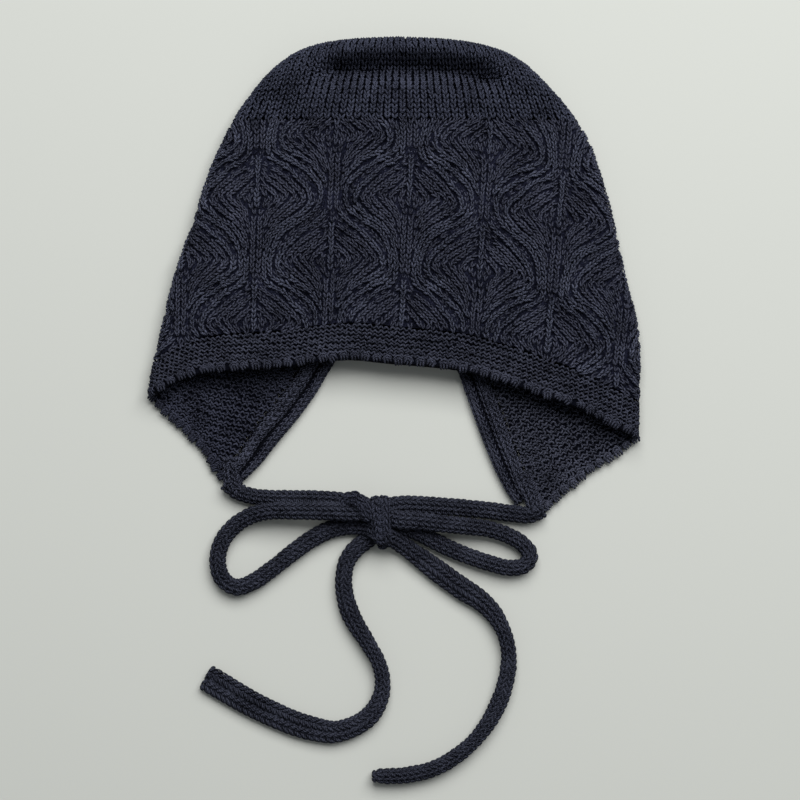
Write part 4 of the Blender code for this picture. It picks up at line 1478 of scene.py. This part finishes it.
def cord_yarn(route, yarn, radius, size, wales=TIE_WALES, floor=CORD_FLOOR, shape=CORD_KNIT):
    """A knitted cord: a core, and upright wales of V stitches round it. Size gives how wide and how
    high it is against its radius, from its points and their distances from its end."""
    line = smooth_line(route)
    line[:, 2] = np.maximum(line[:, 2], floor)
    length = lengths_along(line)[-1]
    count = int(round(length / TIE_COURSE))
    distance = np.linspace(0, length, count + 1)
    path = points_at(line, distance)
    wide, high = size(path, length - distance)
    path[:, 2] -= radius * (1 - high) * smooth_step((floor + SETTLE_REACH - path[:, 2]) / SETTLE_REACH)
    along = unit(np.gradient(path, axis=0))
    side = unit(np.cross(along, UPWARD))
    lift = np.cross(side, along)
    round_wale = 2 * math.pi * radius / wales
    for wale in range(wales):
        turn = math.pi / 2 + (wale + 0.5) * 2 * math.pi / wales
        offset = math.cos(turn) * wide[:, None] * side + math.sin(turn) * high[:, None] * lift
        outward = unit(math.cos(turn) / wide[:, None] * side + math.sin(turn) / high[:, None] * lift)
        here = path + radius * offset
        step = np.gradient(here, axis=0)
        step = unit(step) * np.minimum(np.linalg.norm(step, axis=1, keepdims=True), LONGEST_COURSE)
        step[[0, -1]] *= END_COURSE
        stretch = np.sqrt((math.sin(turn) * wide) ** 2 + (math.cos(turn) * high) ** 2)
        bend = rng.normal(0, CORD_TURN_SPREAD, len(here))[:, None]
        across = unit(np.cross(outward, along) + bend * along) * (round_wale * stretch)[:, None]
        thick = CORD_LEG_RADIUS * round_wale * np.sqrt(stretch)
        thick = thick * (1 + rng.normal(0, CORD_LEG_SPREAD, len(here)))
        knit(yarn, here, step, across * CORD_WALE_OVERLAP, outward, thick, THIN_SIDES, shape)
    turn = 2 * math.pi * np.arange(wales * 2) / (wales * 2)
    yarn.add_sleeve(path, side * wide[:, None], lift * high[:, None], CORE_SHARE * radius, turn)
    return yarn


def neck_stitches():
    """The rolled neck edge, the ridge beside it, and where the band is gathered into each tie."""
    yarn = Yarn()
    distance = np.linspace(NECK_END_GAP, NECK_LENGTH - NECK_END_GAP, NECK_POINTS)
    for share, radius, height in NECK_ROLLS:
        middle = beside_neck(distance, share)
        route = np.column_stack([middle, np.full(len(middle), height)])
        cord_yarn(route, yarn, radius, neck_size, NECK_ROLL_WALES, height)
    for route in GATHERS:
        cord_yarn(route, yarn, GATHER_RADIUS, even_size, floor=GATHER_FLOOR)
    return yarn


# Materials


def colour(code):
    """A linear colour from an sRGB hex code."""
    parts = [int(code[k : k + 2], 16) / 255 for k in (1, 3, 5)]
    linear = [c / 12.92 if c <= 0.04045 else ((c + 0.055) / 1.055) ** 2.4 for c in parts]
    return (*linear, 1.0)


def node(tree, kind, inputs=(), **settings):
    """Adds a node with its settings, and its inputs as values or links."""
    made = tree.nodes.new(kind)
    for name, value in settings.items():
        setattr(made, name, value)
    for name, value in dict(inputs).items():
        if isinstance(value, bpy.types.NodeSocket):
            tree.links.new(value, made.inputs[name])
        else:
            made.inputs[name].default_value = value
    return made


def maths(tree, operation, *values):
    """Adds a maths node and gives its output. Its inputs are values or links, in their order."""
    return node(tree, "ShaderNodeMath", enumerate(values), operation=operation).outputs[0]


def wool(name):
    """Soft plied wool, hand-knitted: it looks matt, with painted shade between its plies and a painted
    highlight on their crowns, and pale streaks of loose fibre. The mesh's yarn map runs along each strand
    and round it, and gives the plies their twist."""
    dark, light = WOOLS[name]
    made = bpy.data.materials.new(name)
    made.use_nodes = True
    tree = made.node_tree
    shader = tree.nodes["Principled BSDF"]
    place = node(tree, "ShaderNodeTexCoord")
    patches = node(
        tree,
        "ShaderNodeTexNoise",
        {"Vector": place.outputs["Object"], "Scale": 1 / PATCH_SIZE, "Detail": NOISE_DETAIL},
    )
    fibres = node(
        tree,
        "ShaderNodeTexNoise",
        {
            "Vector": place.outputs["Object"],
            "Scale": 1 / FIBRE_SIZE,
            "Detail": NOISE_DETAIL,
            "Roughness": FIBRE_ROUGHNESS,
        },
    )
    uv = node(tree, "ShaderNodeUVMap", uv_map="yarn")
    split = node(tree, "ShaderNodeSeparateXYZ", {"Vector": uv.outputs["UV"]})
    turns = maths(tree, "MULTIPLY_ADD", split.outputs["X"], PLY_TURNS, split.outputs["Y"])
    twist = maths(tree, "MULTIPLY", turns, 2 * PLIES * math.pi)
    plies = maths(tree, "SINE", twist)
    # The plies' stripes in the colour are painted shade in their hollows and painted highlight on their
    # crowns; the fibres' noise is the wool's own
    streaks = maths(tree, "MULTIPLY_ADD", plies, PLY_PAINTED_SHADE_AND_HIGHLIGHT, fibres.outputs["Fac"])
    blend = maths(tree, "MULTIPLY_ADD", patches.outputs["Fac"], PATCH_SHADE, streaks)
    tone = node(
        tree,
        "ShaderNodeMapRange",
        {"Value": blend, "From Min": DARKEST_SHADE, "From Max": PALEST_SHADE},
    )
    ramp = node(tree, "ShaderNodeValToRGB", {"Fac": tone.outputs["Result"]})
    ramp.color_ramp.elements[0].color = colour(dark)
    ramp.color_ramp.elements[1].color = colour(light)
    tree.links.new(ramp.outputs["Color"], shader.inputs["Base Color"])
    height = maths(tree, "MULTIPLY_ADD", plies, PLY_RELIEF, fibres.outputs["Fac"])
    bump = node(tree, "ShaderNodeBump", {"Height": height, "Distance": WOOL_RELIEF, "Strength": 1.0})
    tree.links.new(bump.outputs["Normal"], shader.inputs["Normal"])
    shader.inputs["Roughness"].default_value = WOOL_ROUGHNESS
    shader.inputs["Specular IOR Level"].default_value = WOOL_SPECULAR
    shader.inputs["Sheen Weight"].default_value = WOOL_SHEEN
    shader.inputs["Sheen Roughness"].default_value = WOOL_SHEEN_ROUGHNESS
    shader.inputs["Sheen Tint"].default_value = colour(WOOL_SHEEN_COLOUR)
    return made


# The pieces, the camera and the studio


def show(piece, slot, *nodes):
    """Makes a piece part of the hat, in place of its CAD nodes."""
    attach(piece, "root")
    if nodes:
        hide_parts(*nodes)


def read_vertices(data, what):
    """The places or the normals of a mesh's vertices."""
    values = np.empty(len(data.vertices) * 3)
    data.vertices.foreach_get(what, values)
    return values.reshape(-1, 3)


def cloth_under(node_name, finish):
    """The cloth below the stitches, in a dark wool that paints the shade between them: the CAD solid's
    shape, a little thinner, and hollowed where the valley behind the ridge is deeper here than there."""
    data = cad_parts[node_name].data.copy()
    data.name = f"{node_name}_cloth"
    data.materials.clear()
    data.materials.append(finish)
    if node_name == "crown":
        fine = bmesh.new()
        fine.from_mesh(data)
        bmesh.ops.subdivide_edges(fine, edges=fine.edges[:], cuts=CROWN_CUTS, use_grid_fill=True)
        fine.to_mesh(data)
        fine.free()
    made = bpy.data.objects.new(f"{node_name}_cloth", data)
    bpy.context.scene.collection.objects.link(made)
    points = read_vertices(data, "co")
    normals = read_vertices(data, "normal")
    ceiling = (normals[:, 2] < -SLOPE_LIMIT) & (points[:, 2] > CEILING_LEVEL)
    points[ceiling, 2] -= CEILING_DROP
    if node_name == "crown":
        front = (normals[:, 2] > SLOPE_LIMIT) | ceiling
        plan = points[front, :2]
        inside, _, _, radius = beside_outline(plan)
        deeper = valley(plan, inside, 1.0, VALLEY_CLEARANCE) - valley(plan, inside, 0.0)
        highest = np.where(inside > radius, front_crest(plan, inside, radius), np.inf)
        points[front, 2] = np.minimum(points[front, 2] - deeper, highest)
    sideways = SIDEWAYS_GROWTH if node_name in SINGLE_LAYERS else SIDEWAYS_SINK
    points = points - normals * CLOTH_SINK[node_name] * np.array([sideways, sideways, 1.0])
    points[:, 2] = np.maximum(points[:, 2], CLOTH_LOWEST)
    data.vertices.foreach_set("co", points.ravel())
    data.update()
    data.shade_smooth()
    return made


def place_camera():
    """Straight above the hat, as in the photograph."""
    data = bpy.data.cameras.new("camera")
    data.sensor_width = SENSOR_WIDTH
    data.lens = SENSOR_WIDTH * CAMERA_DISTANCE / PICTURE_WIDTH
    data.clip_end = 10
    made = bpy.data.objects.new("camera", data)
    made.location = (*CAMERA_MIDDLE, CAMERA_DISTANCE + CAMERA_LEVEL)
    bpy.context.scene.collection.objects.link(made)
    bpy.context.scene.camera = made


def make_cords():
    """The two ties and the knot's wrap."""
    tie_wool = wool("plied_wool_ties")
    for name, route, widths, nodes in (
        (
            "left_tie",
            LEFT_TIE_ROUTE,
            LEFT_TIE_WIDTHS,
            ("tie_lead_left", "bow_loop_right", "tie_tail_left"),
        ),
        (
            "right_tie",
            RIGHT_TIE_ROUTE,
            RIGHT_TIE_WIDTHS,
            ("tie_lead_right", "bow_loop_left", "tie_tail_right"),
        ),
    ):
        piece = cord_yarn(route, Yarn(), TIE_WALE_RADIUS, tie_size(widths)).finish(name, tie_wool)
        show(piece, "tie_wool", *nodes)
    yarn = Yarn()
    cord_yarn(WRAP_ROUTE, yarn, WRAP_RADIUS, wrap_size, KNOT_WALES, WRAP_FLOOR, FLAT_KNIT)
    cord_yarn(TURN_ROUTE, yarn, TURN_RADIUS, turn_size, KNOT_WALES, shape=FLAT_KNIT)
    knot = yarn.finish("bow_knot_wrap", wool("plied_wool_knot"))
    show(knot, "knot_wool", "bow_knot")


def make_knitting():
    """The cloth of every piece and the stitches over it."""
    crown_wool = wool("plied_wool_crown")
    # The ropes' paler wool is a painted highlight and the leaves' darker wool a painted shade: both are one
    # yarn
    rope_wool = wool("plied_wool_ropes_painted_highlight")
    leaf_wool = wool("plied_wool_leaves_painted_shade")
    brim_wool = wool("plied_wool_brim")
    left_wool = wool("plied_wool_left_flap")
    right_wool = wool("plied_wool_right_flap")
    neck_wool = wool("plied_wool_neck_band")
    # The cloths below the stitches are painted shade: dark wool for where light hardly reaches between the
    # stitches
    under = wool("plied_wool_painted_shade_between_stitches")
    under_body = wool("plied_wool_painted_shade_below_the_ropes")
    for node_name, slot, below in (
        ("crown", "crown_wool", under),
        ("patterned_body", "pattern_wool", under_body),
        ("brim_band", "brim_wool", under),
        ("ear_flap_left", "left_flap_wool", under),
        ("ear_flap_right", "right_flap_wool", under),
        ("neck_band", "neck_band_wool", under),
    ):
        show(cloth_under(node_name, below), slot, node_name)
    faces = (("front", 4), ("back", 3))  # the back's strands have fewer sides, as it hardly shows
    for face, sides in faces:
        show(crown_stitches(face, sides).finish(f"crown_{face}_knit", crown_wool), "crown_wool")
    for face, sides in faces:
        ropes, leaves = body_stitches(face, sides)
        show(ropes.finish(f"pattern_ropes_{face}", rope_wool), "pattern_wool")
        show(leaves.finish(f"pattern_leaves_{face}", leaf_wool), "pattern_wool")
    show(brim_stitches().finish("brim_ridges", brim_wool), "brim_wool")
    show(brim_edge().finish("brim_rolled_edge", brim_wool), "brim_wool")
    show(flap_stitches("left").finish("left_flap_knit", left_wool), "left_flap_wool")
    show(flap_stitches("right").finish("right_flap_knit", right_wool), "right_flap_wool")
    show(neck_stitches().finish("neck_band_knit", neck_wool), "neck_band_wool")


def make_floor():
    """The plain pale surface that the hat lies on."""
    data = bpy.data.meshes.new("floor")
    corners = [(-1, -1), (1, -1), (1, 1), (-1, 1)]
    points = [(x * FLOOR_REACH, y * FLOOR_REACH, 0) for x, y in corners]
    data.from_pydata(points, [], [(0, 1, 2, 3)])
    made = bpy.data.objects.new("floor", data)
    bpy.context.scene.collection.objects.link(made)
    # Painted board: pale and matt, so that it shows the hat's soft shadow and no glare
    finish = bpy.data.materials.new("pale_matt_board")
    finish.use_nodes = True
    shader = finish.node_tree.nodes["Principled BSDF"]
    shader.inputs["Base Color"].default_value = colour(FLOOR_COLOUR)
    shader.inputs["Roughness"].default_value = FLOOR_ROUGHNESS
    data.materials.append(finish)


def make_light():
    """One wide soft light from behind the crown, and an even pale studio round it."""
    data = bpy.data.lights.new("wide_soft_light", "AREA")
    data.shape = "RECTANGLE"
    data.size, data.size_y = LIGHT_SIZE
    data.energy = LIGHT_POWER
    made = bpy.data.objects.new("wide_soft_light", data)
    made.location = LIGHT_PLACE
    way = np.array(LIGHT_AIM) - np.array(LIGHT_PLACE)
    made.rotation_euler = Vector(way).to_track_quat("-Z", "Y").to_euler()
    bpy.context.scene.collection.objects.link(made)
    world = bpy.data.worlds.new("studio")
    bpy.context.scene.world = world
    world.use_nodes = True
    back = world.node_tree.nodes["Background"]
    back.inputs["Color"].default_value = colour(STUDIO_COLOUR)
    back.inputs["Strength"].default_value = STUDIO_STRENGTH


def main():
    """Builds the hat and its studio."""
    bpy.context.scene.view_settings.view_transform = "Standard"
    place_camera()
    make_cords()
    make_knitting()
    make_floor()
    make_light()


main()
